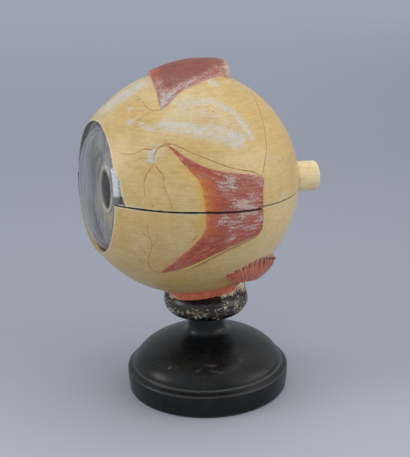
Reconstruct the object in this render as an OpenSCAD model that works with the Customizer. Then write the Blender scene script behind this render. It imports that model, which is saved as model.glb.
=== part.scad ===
// Dissectible model of the human eye on a turned foot, about six times life size.
// Origin: the stand's axis at the face it rests on. +Z up, the cornea looks along -Y,
// the optic nerve leaves along +Y and the temple side is +X.
// Inside the ball the axes are tilted with it: x sideways, y backwards, z up.

/* [Ball] */
// Outer radius of the ball
ball_r = 72; // [69:0.5:76]
// Thickness of the cast outer wall
sclera_t = 6; // [5:0.25:7]
// Thickness of the dark middle layer
choroid_t = 2; // [1.5:0.25:2.5]
// Thickness of the innermost layer
retina_t = 1.6; // [1.2:0.2:2]
// Air between two layers of one half
layer_gap = 0.25; // [0.15:0.05:0.35]
// Air between the inner body and the halves round it
core_gap = 0.3; // [0.25:0.05:0.5]
// Gap between the two halves of the ball
seam_gap = 0.3; // [0.2:0.05:0.5]
// Bevel along the edges of the seam
seam_bevel = 0.6; // [0.3:0.1:0.9]
// Angle that the front of the ball is raised by
ball_tilt = 2.8; // [0:0.2:5]
// Distance of the ball's centre from the stand's axis, towards the temple
ball_side = 2; // [0:0.5:4]
// Distance of the ball's centre in front of the stand's axis
ball_forward = 11.5; // [8:0.5:14]

/* [Opening] */
// Radius of the round opening in the upper half
opening_r = 41.4; // [40.6:0.2:43]
// Ledge that the lower half stands inwards by, against the glass
opening_ledge = 1.2; // [0.6:0.1:1.6]
// Angle that the opening is turned by, towards the temple
gaze_turn = 3.4; // [0:0.2:6]
// Flare of the opening's edge, sideways for each unit outwards
opening_flare = 0.4; // [0.2:0.05:0.6]
// Distance that the swelling round the opening is moved forward by
swell_out = 7.6; // [6.6:0.2:8.4]
// Height of the swelling over the ball
swell_h = 2.7; // [2.4:0.2:3.6]
// Depth of the chipped corner in the upper half
chip_depth = 3.2; // [2:0.2:4]
// Height of the chipped corner above the seam
chip_h = 22; // [16:1:26]
// Reach of the chipped corner behind the opening's edge
chip_w = 6; // [4:0.5:8]

/* [Iris and glass] */
// Gap round the iris and the glass in the opening
opening_fit = 0.35; // [0.25:0.05:0.5]
// Depth of the iris below the opening's edge
iris_depth = 5.7; // [5:0.1:6.4]
// Thickness of the iris disc
iris_t = 2; // [1.5:0.25:2.5]
// Radius of the pupil
pupil_r = 12.4; // [10:0.2:14]
// Distance of the pupil below the ball's axis
pupil_drop = 1.5; // [0:0.5:4]
// Width of the pale ring round the pupil
ring_w = 2.8; // [2:0.2:4]
// Height of the pale ring above the iris
ring_h = 1; // [0.6:0.2:1.4]
// Thickness of the glass
glass_t = 1.6; // [1.2:0.2:2]
// Height of the upright rim of the glass
glass_rim_h = 3; // [2:0.25:4]
// Height of the glass above its rim
glass_rise = 10.2; // [7:0.2:12]
// How square the shoulder of the glass is
glass_shoulder = 4.2; // [2.6:0.2:6]

/* [Lens and inner body] */
// Radius of the lens at its equator
lens_r = 27; // [25:0.5:28]
// Radius of the lens's front face
lens_front_r = 60; // [52:1:70]
// Radius of the lens's back face
lens_back_r = 36; // [33:0.5:42]
// Thickness of the lens at its equator
lens_edge = 1.5; // [1:0.25:2.5]
// Distance from the iris to the lens
lens_gap = 2; // [1:0.25:3]
// Distance from the lens to the tips of the folded processes
zonule_gap = 2; // [1.5:0.25:3]
// Depth of the ciliary ring from front to back
ciliary_depth = 12; // [11:0.25:14]
// Solid front of the ring, before its furrows start
ciliary_face = 3.2; // [2.6:0.2:4]
// Number of folded processes round the lens
process_n = 60; // [40:2:72]
// Length of a folded process
process_l = 8; // [6:0.5:9]
// Share of the turn that a process takes, the rest is the furrow beside it
process_share = 0.55; // [0.4:0.05:0.7]

/* [Optic nerve] */
// Radius of the turned nerve
nerve_r = 10; // [8:0.5:12]
// Reach of the nerve beyond the back of the ball
nerve_out = 15.5; // [12:0.5:20]
// Distance of the nerve from the ball's axis, towards the temple
nerve_side = 4.4; // [0:0.4:7]
// Height of the nerve's axis above the seam
nerve_up = 1; // [0:0.25:2]
// Gap round the nerve in the upper half
nerve_gap = 0.4; // [0.3:0.05:0.6]
// Rounding of the nerve's free end
nerve_round = 1.5; // [0.5:0.25:3]

/* [Muscles] */
// Air under a muscle, where the glue is
glue_gap = 0.1; // [0.05:0.05:0.2]
// Thickness of a straight muscle at the middle of the ball
muscle_mid = 2; // [1.8:0.1:2.6]
// How far its outer face is shifted towards the thick back end
muscle_taper = 4; // [3:0.25:4.5]
// Thickness of the lower muscle, which the ball is seated on
pad_t = 4.4; // [3.5:0.2:5.5]
// Rise of the upper muscle's belly over the ball
belly_rise = 6.5; // [4:0.25:8]
// Radius of the upper muscle's belly, from side to side
belly_r = 30; // [26:1:36]
// Radius of the upper muscle's back, from front to back
belly_run_r = 80; // [70:1:90]
// Thickness of the slanting lower muscle at its thick end
oblique_t = 7; // [5:0.25:8]
// Number of fibre bundles along the slanting muscle's end
bundle_n = 11; // [7:1:14]
// Length of the longest fibre bundle
bundle_l = 3.4; // [2:0.2:5]

/* [Foot] */
// Radius of the foot at its widest
foot_r = 55; // [50:0.5:60]
// Height of the straight band at the bottom of the foot
band_h = 15.8; // [13:0.2:18]
// Taper of the band towards the face it rests on
band_taper = 1.4; // [0.6:0.2:2.4]
// Depth of the groove between band and dome
groove_depth = 3.6; // [2.5:0.1:4.5]
// Width of the step from the groove up to the dome
groove_step = 1.2; // [0.6:0.1:1.8]
// Height of the dome above the band
dome_h = 25; // [20:0.5:28]
// How full the dome is, 1 is a round dome
dome_power = 1.17; // [1:0.02:1.3]
// Radius of the neck
neck_r = 12.8; // [11:0.2:15]
// Height of the neck's shoulder, where the collar sits
neck_top = 55; // [52:0.5:60]
// Rounding where the dome runs into the neck
neck_fillet = 6; // [4:0.5:8]
// Radius of the tenon on the neck
tenon_r = 7; // [6:0.25:9]
// Height of the tenon on the neck
tenon_h = 8; // [6:0.5:9]
// Gap round the tenon in its socket
tenon_fit = 0.1; // [0.05:0.05:0.2]

/* [Collar] */
// Radius of the round bead
bead_r = 9.05; // [8:0.25:10]
// Radius of the circle that the bead follows
bead_mid_r = 19.4; // [18:0.2:22]
// Height of the bead's middle above the neck's shoulder
bead_up = 8; // [7:0.25:9]
// Height of the ball's seat above the neck's shoulder, on the stand's axis
seat_up = 14.6; // [13.5:0.1:16]
// Radius of the filler between collar and muscle
filler_r = 25; // [23:0.5:26]
// Reach of the filler over the flat top of the collar
filler_w = 4; // [2:0.5:6]
// Where the filler behind the muscle starts, along the stand
filler_start = -2; // [-6:0.5:4]
// Radius of the filler in front, between ball and collar
filler_front_r = 27.6; // [27:0.1:28.2]

/* [Fastening] */
// Radius of the long screw's shank
screw_r = 3; // [2.5:0.25:4]
// Gap round the shank
screw_fit = 0.1; // [0.05:0.05:0.3]
// Radius of the screw's head
screw_head_r = 6; // [5.5:0.25:7]
// Height of the screw's head
screw_head_h = 3.6; // [3:0.2:5]
// Width of the slot in the head
slot_w = 1.4; // [1:0.1:2]
// Grip of the screw in the wall of the ball
screw_grip = 4.5; // [3:0.25:4.75]
// Thickness of the washer
washer_t = 1.2; // [0.8:0.1:2]
// Radius of the washer
washer_r = 9; // [8:0.25:11]
// Depth of the recess for head and washer
recess_depth = 7; // [6:0.25:9]
// Radius of a locating peg
peg_r = 1.6; // [1.2:0.1:2]
// Length of a locating peg
peg_l = 9; // [7:0.5:12]
// Gap round a peg in the upper half
peg_fit = 0.1; // [0.05:0.01:0.1]

/* [Hidden] */
$fn = 96;

// Radii of the layers, from the outside in
sclera_in = ball_r - sclera_t;
choroid_out = sclera_in - layer_gap;
choroid_in = choroid_out - choroid_t;
retina_out = choroid_in - layer_gap;
retina_in = retina_out - retina_t;
vitreous_r = retina_in - core_gap;
reach = 2 * ball_r;

// Distances in front of the ball's centre, along its axis
opening_u = sqrt(pow(ball_r, 2) - pow(opening_r, 2));
plug_r = opening_r - opening_ledge - opening_fit;
iris_front = opening_u - iris_depth;
iris_back = iris_front - iris_t;
ciliary_front = iris_back - core_gap;
ciliary_back = ciliary_front - ciliary_depth;
layer_front = ciliary_back - core_gap;
lens_front = iris_back - lens_gap;
lens_front_sag = lens_front_r - sqrt(pow(lens_front_r, 2) - pow(lens_r, 2));
lens_back_sag = lens_back_r - sqrt(pow(lens_back_r, 2) - pow(lens_r, 2));
lens_mid = lens_front - lens_front_sag - lens_edge / 2;
lens_back = lens_mid - lens_edge / 2 - lens_back_sag;
glass_seat = iris_front + core_gap;

// Heights of the stand
bead_z = neck_top + bead_up;
seat_z = neck_top + seat_up;
seat_offset = sqrt(pow(ball_side, 2) + pow(ball_forward, 2));
pad_out = ball_r + glue_gap + pad_t;
ball_z = seat_z + glue_gap + sqrt(pow(pad_out, 2) - pow(seat_offset, 2));
ball_bottom_z = ball_z - sqrt(pow(ball_r, 2) - pow(seat_offset, 2));
washer_z = recess_depth - washer_t;
screw_head_z = washer_z - screw_head_h;

// Direction of the swelling from the ball's centre: x, y, z
swell_to = [-0.454, -0.889, -0.05];

// Locating pegs, in the middle of the wall
peg_mid_r = ball_r - sclera_t / 2;
peg_angles = [35, 145, 212];

// Outlines of the muscles, drawn on a ball of this radius and scaled with the ball.
// They are listed round their edge from a back corner
drawn_r = 72;
ball_scale = ball_r / drawn_r;
// Side muscle: y, z
side_outline = [
    [26.6, 18.2], [15, 21.2], [4, 23.2], [-8, 26.2], [-20, 32.4], [-29, 38.8],
    [-24.6, 32.8], [-18, 24.8], [-12.2, 18], [-10, 10], [-9.2, 2], [-8.2, -6],
    [-10, -14], [-16.6, -23.4], [-22.6, -30.6], [-29.6, -41.8], [-20, -38.9], [-10, -32.4],
    [-2, -27.2], [7, -22.6], [17, -18.7], [25, -15.8], [27.4, -10], [26.8, 0], [26.4, 10]
];
// Middle of the upper muscle's belly: x, y
belly_at = [-8, 12];
// Upper muscle: x, y
upper_outline = [
    [7.6, 25], [9.4, 18], [17, 10], [26, -2], [31, -13], [38.4, -26.8],
    [24, -27], [6, -25.6], [-15, -22.6], [-30, -19.6], [-42, -16], [-36, -6],
    [-31, 4], [-28, 14], [-27, 26], [-8, 27.6]
];
// Front edge of the lower muscle, in front of the ball's centre
pad_front = 10.4;
// Lower muscle: x, y
lower_outline = [
    [31.6, 24], [30.4, 12], [28.6, 2], [27.6, -7], [22, -9.6], [0, -pad_front],
    [-22, -9.6], [-27.6, -7], [-28.6, 2], [-30.4, 12], [-31.6, 24],
    [-16, 28], [16, 28]
];
// Front face of the filler's recess: where the lower muscle ends at its outer radius, from the stand's axis
filler_front = ball_forward + ball_scale * pad_front * cos(ball_tilt)
    + sqrt(pow(pad_out, 2) - pow(ball_scale * pad_front, 2)) * sin(ball_tilt) + glue_gap;
// Slanting lower muscle, its smooth lower edge from the temple end to the back: along, across
oblique_edge = [
    [-20.6, -5.4], [-14, -8.2], [-6, -10], [1, -11.4], [8, -13], [14, -15], [20, -15.6],
    [25, -13], [27, -8], [25.4, -3]
];
oblique_turn = 32.5;
oblique_drop = 39.4;
// Its combed upper edge runs over an arch between these two ends
comb_from = [-21, -3.6];
comb_to = [23.6, -0.6];
comb_lift = 10.8;
// The slanting muscle thickens downwards and backwards: x, y, z
oblique_shift = [-8, 3.8, -11];

function along(a, b, t) = a + (b - a) * t;
function bend(a, b, c, d, t) = 0.5 * (2 * b + (c - a) * t
    + (2 * a - 5 * b + 4 * c - d) * pow(t, 2)
    + (3 * b - a - 3 * c + d) * pow(t, 3));
// A closed smooth line through the points, with some steps between two of them
function smooth(points, steps = 4) = let (n = len(points)) [
    for (i = [0 : n - 1], k = [0 : steps - 1])
        bend(points[(i + n - 1) % n], points[i], points[(i + 1) % n], points[(i + 2) % n], k / steps)
];

// An open smooth line through the points
function smooth_open(points, steps = 4) = let (n = len(points)) concat([
    for (i = [0 : n - 2], k = [0 : steps - 1])
        bend(points[max(i - 1, 0)], points[i], points[i + 1], points[min(i + 2, n - 1)], k / steps)
], [points[n - 1]]);

// Places
module in_ball() translate([ball_side, -ball_forward, ball_z]) rotate([-ball_tilt, 0, 0]) children();
module about_axis() rotate([90, 0, gaze_turn]) children();
module from_side() rotate([90, 0, 90]) children();
module oblique_place() rotate([0, oblique_drop, oblique_turn]) from_side() children();

// Spaces to keep
module above_seam() translate([-reach, -reach, seam_gap / 2]) cube([2 * reach, 2 * reach, reach]);
module below_seam() mirror([0, 0, 1]) above_seam();
module behind(u) rotate([0, 0, gaze_turn]) translate([-reach, -u, -reach])
    cube([2 * reach, reach + u, 2 * reach]);

module seam_groove() rotate_extrude() polygon([
    [ball_r - seam_bevel, 0], [ball_r + 4 * seam_bevel, 5 * seam_bevel], [ball_r + 4 * seam_bevel, -5 * seam_bevel]
]);

module opening_cut(r) about_axis() {
    translate([0, 0, iris_back - sclera_t]) cylinder(r = r, h = reach);
    translate([0, 0, opening_u - 1]) cylinder(r1 = r, r2 = r + opening_flare * reach, h = reach);
}

// The part of the outer wall that has broken away at one corner of the opening
module chip() difference() {
    about_axis() translate([0, 0, iris_back - sclera_t]) linear_extrude(reach) translate([opening_r, 0]) polygon([
        [-2 * chip_w, -chip_h], [chip_w, -chip_h], [chip_w, 0], [0.5 * chip_w, 0.39 * chip_h],
        [0.1 * chip_w, 0.68 * chip_h], [-0.8 * chip_w, 0.93 * chip_h], [-2 * chip_w, chip_h]
    ]);
    sphere(r = ball_r - chip_depth);
}

module nerve_bore(gap) translate([nerve_side, 0, nerve_up]) rotate([-90, 0, 0])
    cylinder(r = nerve_r + gap, h = reach);

module shank_bore() cylinder(r = screw_r + screw_fit, h = ball_bottom_z + screw_grip + screw_fit);

module pegs(gap) for (a = peg_angles) rotate([0, 0, a])
    translate([peg_mid_r, 0, -peg_l / 2 - gap]) cylinder(r = peg_r + gap, h = peg_l + 2 * gap);

// Layers of the ball
module shell(r_out, r_in) difference() {
    sphere(r = r_out);
    sphere(r = r_in);
}

// The wall swells a little round the far side of the opening
module swell(gap) translate(swell_out * swell_to) sphere(r = ball_r + swell_h - swell_out + gap);

module sclera(r) difference() {
    union() {
        sphere(r = ball_r);
        swell(0);
    }
    sphere(r = sclera_in);
    opening_cut(r);
    seam_groove();
}

module inner_layer(r_out, r_in) intersection() {
    shell(r_out, r_in);
    behind(layer_front);
}

module lower_sclera() color([0.76, 0.64, 0.38]) difference() {
    in_ball() difference() {
        intersection() {
            sclera(opening_r - opening_ledge);
            below_seam();
        }
        nerve_bore(glue_gap);
        pegs(0);
    }
    shank_bore();
}

module lower_choroid() color([0.32, 0.13, 0.1]) in_ball() difference() {
    intersection() {
        inner_layer(choroid_out, choroid_in);
        below_seam();
    }
    nerve_bore(glue_gap);
}

module lower_retina() color([0.85, 0.5, 0.36]) in_ball() difference() {
    intersection() {
        inner_layer(retina_out, retina_in);
        below_seam();
    }
    nerve_bore(glue_gap);
}

module upper_sclera() color([0.8, 0.69, 0.44]) in_ball() difference() {
    intersection() {
        sclera(opening_r);
        above_seam();
    }
    nerve_bore(nerve_gap);
    pegs(peg_fit);
    chip();
}

module upper_choroid() color([0.32, 0.13, 0.1]) in_ball() difference() {
    intersection() {
        inner_layer(choroid_out, choroid_in);
        above_seam();
    }
    nerve_bore(nerve_gap);
}

module upper_retina() color([0.85, 0.5, 0.36]) in_ball() difference() {
    intersection() {
        inner_layer(retina_out, retina_in);
        above_seam();
    }
    nerve_bore(nerve_gap);
}

module locating_pegs() color([0.72, 0.6, 0.36]) in_ball() pegs(0);

// Turned plug with a rounded free end; its inner end follows the retina
module optic_nerve() color([0.86, 0.76, 0.48]) in_ball() difference() {
    translate([nerve_side, 0, nerve_up]) rotate([-90, 0, 0]) rotate_extrude() difference() {
        square([nerve_r, ball_r + nerve_out]);
        translate([nerve_r - nerve_round, ball_r + nerve_out - nerve_round]) difference() {
            square(2 * nerve_round);
            circle(r = nerve_round);
        }
    }
    translate([-reach, retina_in - 2 * reach, -reach]) cube(2 * reach);
}

// Muscles: a shell that thickens towards the back, cut to an outline
module muscle_skin(t, taper) difference() {
    translate([0, taper, 0]) sphere(r = ball_r + t);
    sphere(r = ball_r + glue_gap);
}

module side_muscle() intersection() {
    muscle_skin(muscle_mid, muscle_taper);
    from_side() linear_extrude(reach) polygon(ball_scale * smooth(side_outline));
}

module medial_side() difference() {
    mirror([1, 0, 0]) side_muscle();
    swell(glue_gap);
}

module lateral_rectus_upper() color([0.62, 0.2, 0.1]) in_ball() intersection() {
    side_muscle();
    above_seam();
}

module lateral_rectus_lower() color([0.62, 0.2, 0.1]) in_ball() intersection() {
    side_muscle();
    below_seam();
}

module medial_rectus_upper() color([0.62, 0.2, 0.1]) in_ball() intersection() {
    medial_side();
    above_seam();
}

module medial_rectus_lower() color([0.62, 0.2, 0.1]) in_ball() intersection() {
    medial_side();
    below_seam();
}

module belly() translate([belly_at[0], belly_at[1], ball_r + belly_rise - belly_run_r])
    rotate([0, 90, 0]) rotate_extrude() translate([belly_run_r - belly_r, 0]) circle(r = belly_r);

module superior_rectus() color([0.55, 0.12, 0.07]) in_ball() difference() {
    intersection() {
        union() {
            translate([0, muscle_taper, 0]) sphere(r = ball_r + muscle_mid);
            belly();
        }
        linear_extrude(reach) polygon(ball_scale * smooth(upper_outline));
    }
    sphere(r = ball_r + glue_gap);
}

module inferior_rectus() color([0.66, 0.24, 0.12]) difference() {
    in_ball() intersection() {
        shell(pad_out, ball_r + glue_gap);
        mirror([0, 0, 1]) linear_extrude(reach) polygon(ball_scale * smooth(lower_outline));
    }
    shank_bore();
}

// The bundles stand out along the upper edge like the teeth of a comb, longer towards the back
function comb_point(t, out) = along(comb_from, comb_to, t)
    + [0, comb_lift * sin(180 * pow(t, 0.85)) + out * bundle_l * (0.5 + 0.5 * t)];
module oblique_face() polygon(ball_scale * concat(
    smooth_open(oblique_edge),
    [for (i = [bundle_n - 1 : -1 : 0], k = [1, 0, -1])
        comb_point((i + 0.5 + 0.36 * k) / bundle_n, k == -1 ? 1 : k == 0 ? 0.9 : -0.2)]
));

module inferior_oblique() color([0.62, 0.2, 0.1]) in_ball() intersection() {
    shell(ball_r + oblique_t, ball_r + glue_gap);
    translate(ball_scale * oblique_shift) sphere(r = ball_r);
    oblique_place() linear_extrude(reach) oblique_face();
}

// Clear inner body: a ball cut flat in front, hollowed for the lens
module vitreous_body() color([0.8, 0.88, 0.9, 0.4]) in_ball() about_axis() rotate_extrude() difference() {
    intersection() {
        circle(r = vitreous_r);
        translate([0, layer_front - reach]) square(reach);
    }
    translate([0, lens_back + lens_back_r]) circle(r = lens_back_r + core_gap);
}

// The furrows are cut between the processes from the back, up to the flat front of the ring
module furrows() let (
    tip_r = lens_r + zonule_gap,
    root_r = tip_r + process_l,
    turn = 360 / process_n,
    half = turn * process_share / 2
) linear_extrude(ciliary_depth - ciliary_face) polygon([
    for (i = [0 : process_n - 1], e = [
        [tip_r - 1.5, -half], [tip_r - 1.5, half], [root_r - 0.3, half * 1.4], [root_r - 0.3, turn - half * 1.4]
    ]) e[0] * [cos(i * turn + e[1]), sin(i * turn + e[1])]
]);

module ciliary_ring() color([0.35, 0.2, 0.14]) in_ball() let (
    tip_r = lens_r + zonule_gap,
    root_r = tip_r + process_l
) difference() {
    intersection() {
        sphere(r = sclera_in - core_gap);
        about_axis() rotate_extrude() polygon([
            [tip_r, lens_mid - 2], [tip_r, lens_mid + 1.5], [root_r, ciliary_front - 2.5],
            [root_r, ciliary_front], [ball_r, ciliary_front], [ball_r, ciliary_back],
            [root_r + process_l, ciliary_back]
        ]);
    }
    about_axis() translate([0, 0, ciliary_back - 0.4]) furrows();
}

module crystalline_lens() color([0.9, 0.9, 0.8, 0.5]) in_ball() about_axis() intersection() {
    translate([0, 0, lens_front - lens_front_r]) sphere(r = lens_front_r);
    translate([0, 0, lens_back + lens_back_r]) sphere(r = lens_back_r);
    cylinder(r = lens_r, h = reach);
}

module iris_disc() color([0.52, 0.54, 0.53]) in_ball() about_axis() difference() {
    translate([0, 0, iris_back]) cylinder(r = plug_r, h = iris_t);
    translate([0, -pupil_drop, iris_back - iris_t]) cylinder(r = pupil_r, h = 3 * iris_t);
}

module pupil_ring() color([0.88, 0.85, 0.74]) in_ball() about_axis()
    translate([0, -pupil_drop, iris_front]) rotate_extrude() difference() {
        translate([pupil_r, 0]) square([ring_w, ring_h]);
        translate([pupil_r + ring_w, ring_h]) circle(r = ring_h / 2);
    }

// Pressed glass: a flat crown that turns down over a square shoulder to a thick rim
function crown(r, rise, steps = 28) = [
    for (k = [0 : steps]) let (q = sin(90 * k / steps)) [r * q, rise * (1 - pow(q, glass_shoulder))]
];

module crown_face(r, foot) polygon(concat(
    [for (p = crown(r, glass_rise)) p + [0, glass_rim_h]],
    [[r, foot], [0, foot]]
));

module cornea_glass() color([0.75, 0.83, 0.85, 0.35]) in_ball() about_axis()
    translate([0, 0, glass_seat]) rotate_extrude() difference() {
        crown_face(plug_r, 0);
        translate([0, -glass_t]) crown_face(plug_r - glass_t, 0);
    }

// Stand
function dome_points(steps = 22) = let (
    r = foot_r - groove_depth - groove_step,
    z = band_h + groove_step + 1,
    h = dome_h - groove_step - 1
) [
    for (k = [0 : steps]) let (
        t = 90 * k / steps,
        p = [r * pow(cos(t), dome_power), z + h * pow(sin(t), dome_power)]
    ) if (p[0] > neck_r + neck_fillet * 0.6) p
];

module foot_profile() difference() {
    union() {
        polygon(concat(
            [
                [0, 0], [foot_r - band_taper, 0], [foot_r - band_taper + 0.6, 0.8],
                [foot_r - 0.3, band_h * 0.45], [foot_r, band_h * 0.75], [foot_r, band_h - 0.8],
                [foot_r - 0.8, band_h], [foot_r - groove_depth, band_h + 1],
                [foot_r - groove_depth, band_h + groove_step + 0.6]
            ],
            dome_points(),
            [[0, band_h + dome_h - 1.2]]
        ));
        square([neck_r, neck_top]);
        square([tenon_r, neck_top + tenon_h]);
        translate([0, band_h + dome_h - 3]) difference() {
            square([neck_r + neck_fillet, neck_fillet]);
            translate([neck_r + neck_fillet, neck_fillet]) circle(r = neck_fillet);
        }
    }
    square([screw_r + screw_fit, neck_top + 2 * tenon_h]);
    square([washer_r + 2 * screw_fit, recess_depth]);
}

module stand_foot() color([0.08, 0.07, 0.07]) rotate_extrude() foot_profile();

// Space taken by the ball's lower muscle, which dishes the collar and the filler
module seat_cut() in_ball() sphere(r = pad_out + glue_gap);

module collar_body() difference() {
    rotate_extrude() union() {
        translate([bead_mid_r, bead_z]) circle(r = bead_r);
        translate([0, neck_top]) square([bead_mid_r, bead_z + bead_r - neck_top]);
    }
    seat_cut();
}

module stand_collar() color([0.1, 0.09, 0.08]) difference() {
    collar_body();
    translate([0, 0, neck_top - 1]) cylinder(r = tenon_r + tenon_fit, h = tenon_h + tenon_fit + 1);
    shank_bore();
}

// One piece of filler behind, between collar and muscle, and one in front, between collar and ball
module seat_filler() color([0.85, 0.8, 0.68]) {
    difference() {
        rotate_extrude() difference() {
            translate([bead_mid_r - filler_w, bead_z]) square([filler_w + filler_r - bead_mid_r, 2 * bead_r]);
            translate([bead_mid_r, bead_z]) circle(r = bead_r);
            square([bead_mid_r, bead_z + bead_r]);
        }
        seat_cut();
        translate([-reach, -2 * reach + filler_start, 0]) cube(2 * reach);
    }
    intersection() {
        in_ball() shell(pad_out, ball_r + glue_gap);
        translate([0, 0, bead_z]) cylinder(r = filler_front_r, h = 3 * bead_r);
        translate([-reach, -reach - filler_front, 0]) cube([2 * reach, reach, ball_z]);
    }
}

module stand_screw() color([0.55, 0.55, 0.53]) difference() {
    union() {
        translate([0, 0, screw_head_z]) cylinder(r = screw_head_r, h = screw_head_h);
        translate([0, 0, screw_head_z + 1]) cylinder(r = screw_r, h = ball_bottom_z + screw_grip - screw_head_z - 3);
        translate([0, 0, ball_bottom_z + screw_grip - 2]) cylinder(r1 = screw_r, r2 = screw_r - 1.2, h = 2);
    }
    translate([-reach, -slot_w / 2, screw_head_z - 1]) cube([2 * reach, slot_w, 2.2]);
}

module screw_washer() color([0.6, 0.58, 0.5]) difference() {
    translate([0, 0, washer_z]) cylinder(r = washer_r, h = washer_t);
    cylinder(r = screw_r + screw_fit, h = recess_depth + 1);
}

stand_foot();
stand_collar();
seat_filler();
stand_screw();
screw_washer();
inferior_rectus();
inferior_oblique();
lower_sclera();
lower_choroid();
lower_retina();
lateral_rectus_lower();
medial_rectus_lower();
optic_nerve();
locating_pegs();
vitreous_body();
ciliary_ring();
upper_sclera();
upper_choroid();
upper_retina();
superior_rectus();
lateral_rectus_upper();
medial_rectus_upper();
crystalline_lens();
iris_disc();
pupil_ring();
cornea_glass();
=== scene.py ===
import math

import bpy
import numpy as np
from mathutils import Matrix, Vector


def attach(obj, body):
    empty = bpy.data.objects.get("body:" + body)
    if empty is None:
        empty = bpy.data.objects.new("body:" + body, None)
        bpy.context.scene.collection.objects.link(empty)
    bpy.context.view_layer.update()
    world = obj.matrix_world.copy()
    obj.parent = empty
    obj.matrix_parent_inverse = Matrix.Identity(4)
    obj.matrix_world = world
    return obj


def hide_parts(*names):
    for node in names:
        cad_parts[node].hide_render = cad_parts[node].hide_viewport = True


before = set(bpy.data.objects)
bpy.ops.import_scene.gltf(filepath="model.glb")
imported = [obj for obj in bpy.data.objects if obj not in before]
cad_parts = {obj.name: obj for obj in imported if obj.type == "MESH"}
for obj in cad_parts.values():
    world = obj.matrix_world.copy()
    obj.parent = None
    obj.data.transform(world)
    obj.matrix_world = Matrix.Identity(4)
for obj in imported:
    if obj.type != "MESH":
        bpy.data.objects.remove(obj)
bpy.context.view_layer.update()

# Lengths below are millimetres in the ball's own axes (x to the temple, y backwards, z up)
# until to_world() turns them into metres in the shared frame.
MM = 0.001
BALL_R = 72.0
BALL_AT = np.array([2.0, -11.5, 145.304])
TILT = math.radians(2.8)
GAZE_TURN = math.radians(3.4)
SWELL_AT = 7.6 * np.array([-0.454, -0.889, -0.05])
SWELL_R = BALL_R + 2.7 - 7.6
OPENING_UPPER = 41.4
OPENING_LOWER = 40.2
OPENING_U = math.sqrt(BALL_R ** 2 - OPENING_UPPER ** 2)
IRIS_FRONT = OPENING_U - 5.7
IRIS_T = 2.0
PLUG_R = 39.85
PUPIL_R = 12.4
PUPIL_DROP = 1.5
RING_W = 2.8
SKIN_LIFT = 0.06
NERVE_AT, NERVE_BORE = (4.4, 1.0), 10.45
LENS_BACK_R = 36.0
PAD_T = 4.4
UNDER_PAD = BALL_R + PAD_T + 0.2
COLLAR_Z, COLLAR_MID, COLLAR_BEAD = 63.0, 19.4, 9.05
COLLAR_R = COLLAR_MID + COLLAR_BEAD

TILT_TURN = np.array([
    [1, 0, 0],
    [0, math.cos(TILT), math.sin(TILT)],
    [0, -math.sin(TILT), math.cos(TILT)],
])
GAZE = np.array([math.sin(GAZE_TURN), -math.cos(GAZE_TURN), 0.0])
GAZE_SIDE = np.array([math.cos(GAZE_TURN), math.sin(GAZE_TURN), 0.0])
UP = np.array([0.0, 0.0, 1.0])
# Level directions in the room, across the photo and into it: the collar's wear was measured along the
# first, and the floor's colour runs along both.
PHOTO_SIDE = (0.288, 0.957)
PHOTO_AHEAD = (-0.96, 0.281)


def to_world(points):
    return (np.asarray(points, float) @ TILT_TURN.T + BALL_AT) * MM


def on_axis(points):
    """Points given as sideways, up, forwards from the gaze axis, in the ball's axes."""
    p = np.asarray(points, float)
    return p[:, :1] * GAZE_SIDE + p[:, 1:2] * UP + p[:, 2:3] * GAZE


def unit(v):
    return v / np.linalg.norm(v, axis=-1, keepdims=True)


def surface_radius(n):
    """Radius of the painted ball in the directions n, with the swelling round the opening."""
    along = n @ SWELL_AT
    swell = along + np.sqrt(along ** 2 - SWELL_AT @ SWELL_AT + SWELL_R ** 2)
    return np.maximum(BALL_R, swell)


def hash_noise(points, seed=0):
    """Smooth noise, -1 to 1, from a fixed lattice of random values."""
    p = np.asarray(points, float) + 1000.0
    cell = np.floor(p).astype(np.int64)
    frac = p - cell
    frac = frac * frac * (3 - 2 * frac)
    total = np.zeros(len(p))
    for corner in range(8):
        step = np.array([corner & 1, corner >> 1 & 1, corner >> 2 & 1])
        c = cell + step
        h = (c[:, 0] * 73856093 ^ c[:, 1] * 19349663 ^ c[:, 2] * 83492791 ^ seed * 2654435761) & 0xFFFFFF
        h = (h * 1103515245 + 12345) & 0x7FFFFFFF
        value = (h % 20011) / 10005.0 - 1
        weight = np.prod(np.where(step, frac, 1 - frac), axis=1)
        total += value * weight
    return total


# ---------------------------------------------------------------- mesh helpers
def flat_noise(a, b, seed, c=0.0):
    """hash_noise over two running values, at one level c."""
    return hash_noise(np.stack([a, b, a * 0 + c], 1), seed)


def make_mesh(name, points, faces, body, material, node=None, attrs=None, world=False):
    """A visual piece from points in the ball's axes, or in metres in the shared frame if world is set."""
    mesh = bpy.data.meshes.new(name)
    where = np.asarray(points, float) if world else to_world(points)
    mesh.from_pydata([tuple(p) for p in where], [], [tuple(int(i) for i in f) for f in faces])
    mesh.validate()
    mesh.update()
    mesh.polygons.foreach_set("use_smooth", [True] * len(mesh.polygons))
    for key, values in (attrs or {}).items():
        layer = mesh.attributes.new(key, "FLOAT", "POINT")
        layer.data.foreach_set("value", np.asarray(values, np.float32))
    obj = bpy.data.objects.new(name, mesh)
    bpy.context.scene.collection.objects.link(obj)
    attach(obj, body)
    if node:
        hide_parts(node)
    mesh.materials.append(material)


def compact(faces):
    """The points that faces use, and the faces numbered by them."""
    used = sorted({i for q in faces for i in q})
    index = {old: new for new, old in enumerate(used)}
    return used, [tuple(index[i] for i in q) for q in faces]


def flipped(faces):
    """The same faces, seen from the other side."""
    return [q[::-1] for q in faces]


def lathe_faces(rows, cols):
    return [
        (r * cols + c, r * cols + (c + 1) % cols, (r + 1) * cols + (c + 1) % cols, (r + 1) * cols + c)
        for r in range(rows - 1) for c in range(cols)
    ]


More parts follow.
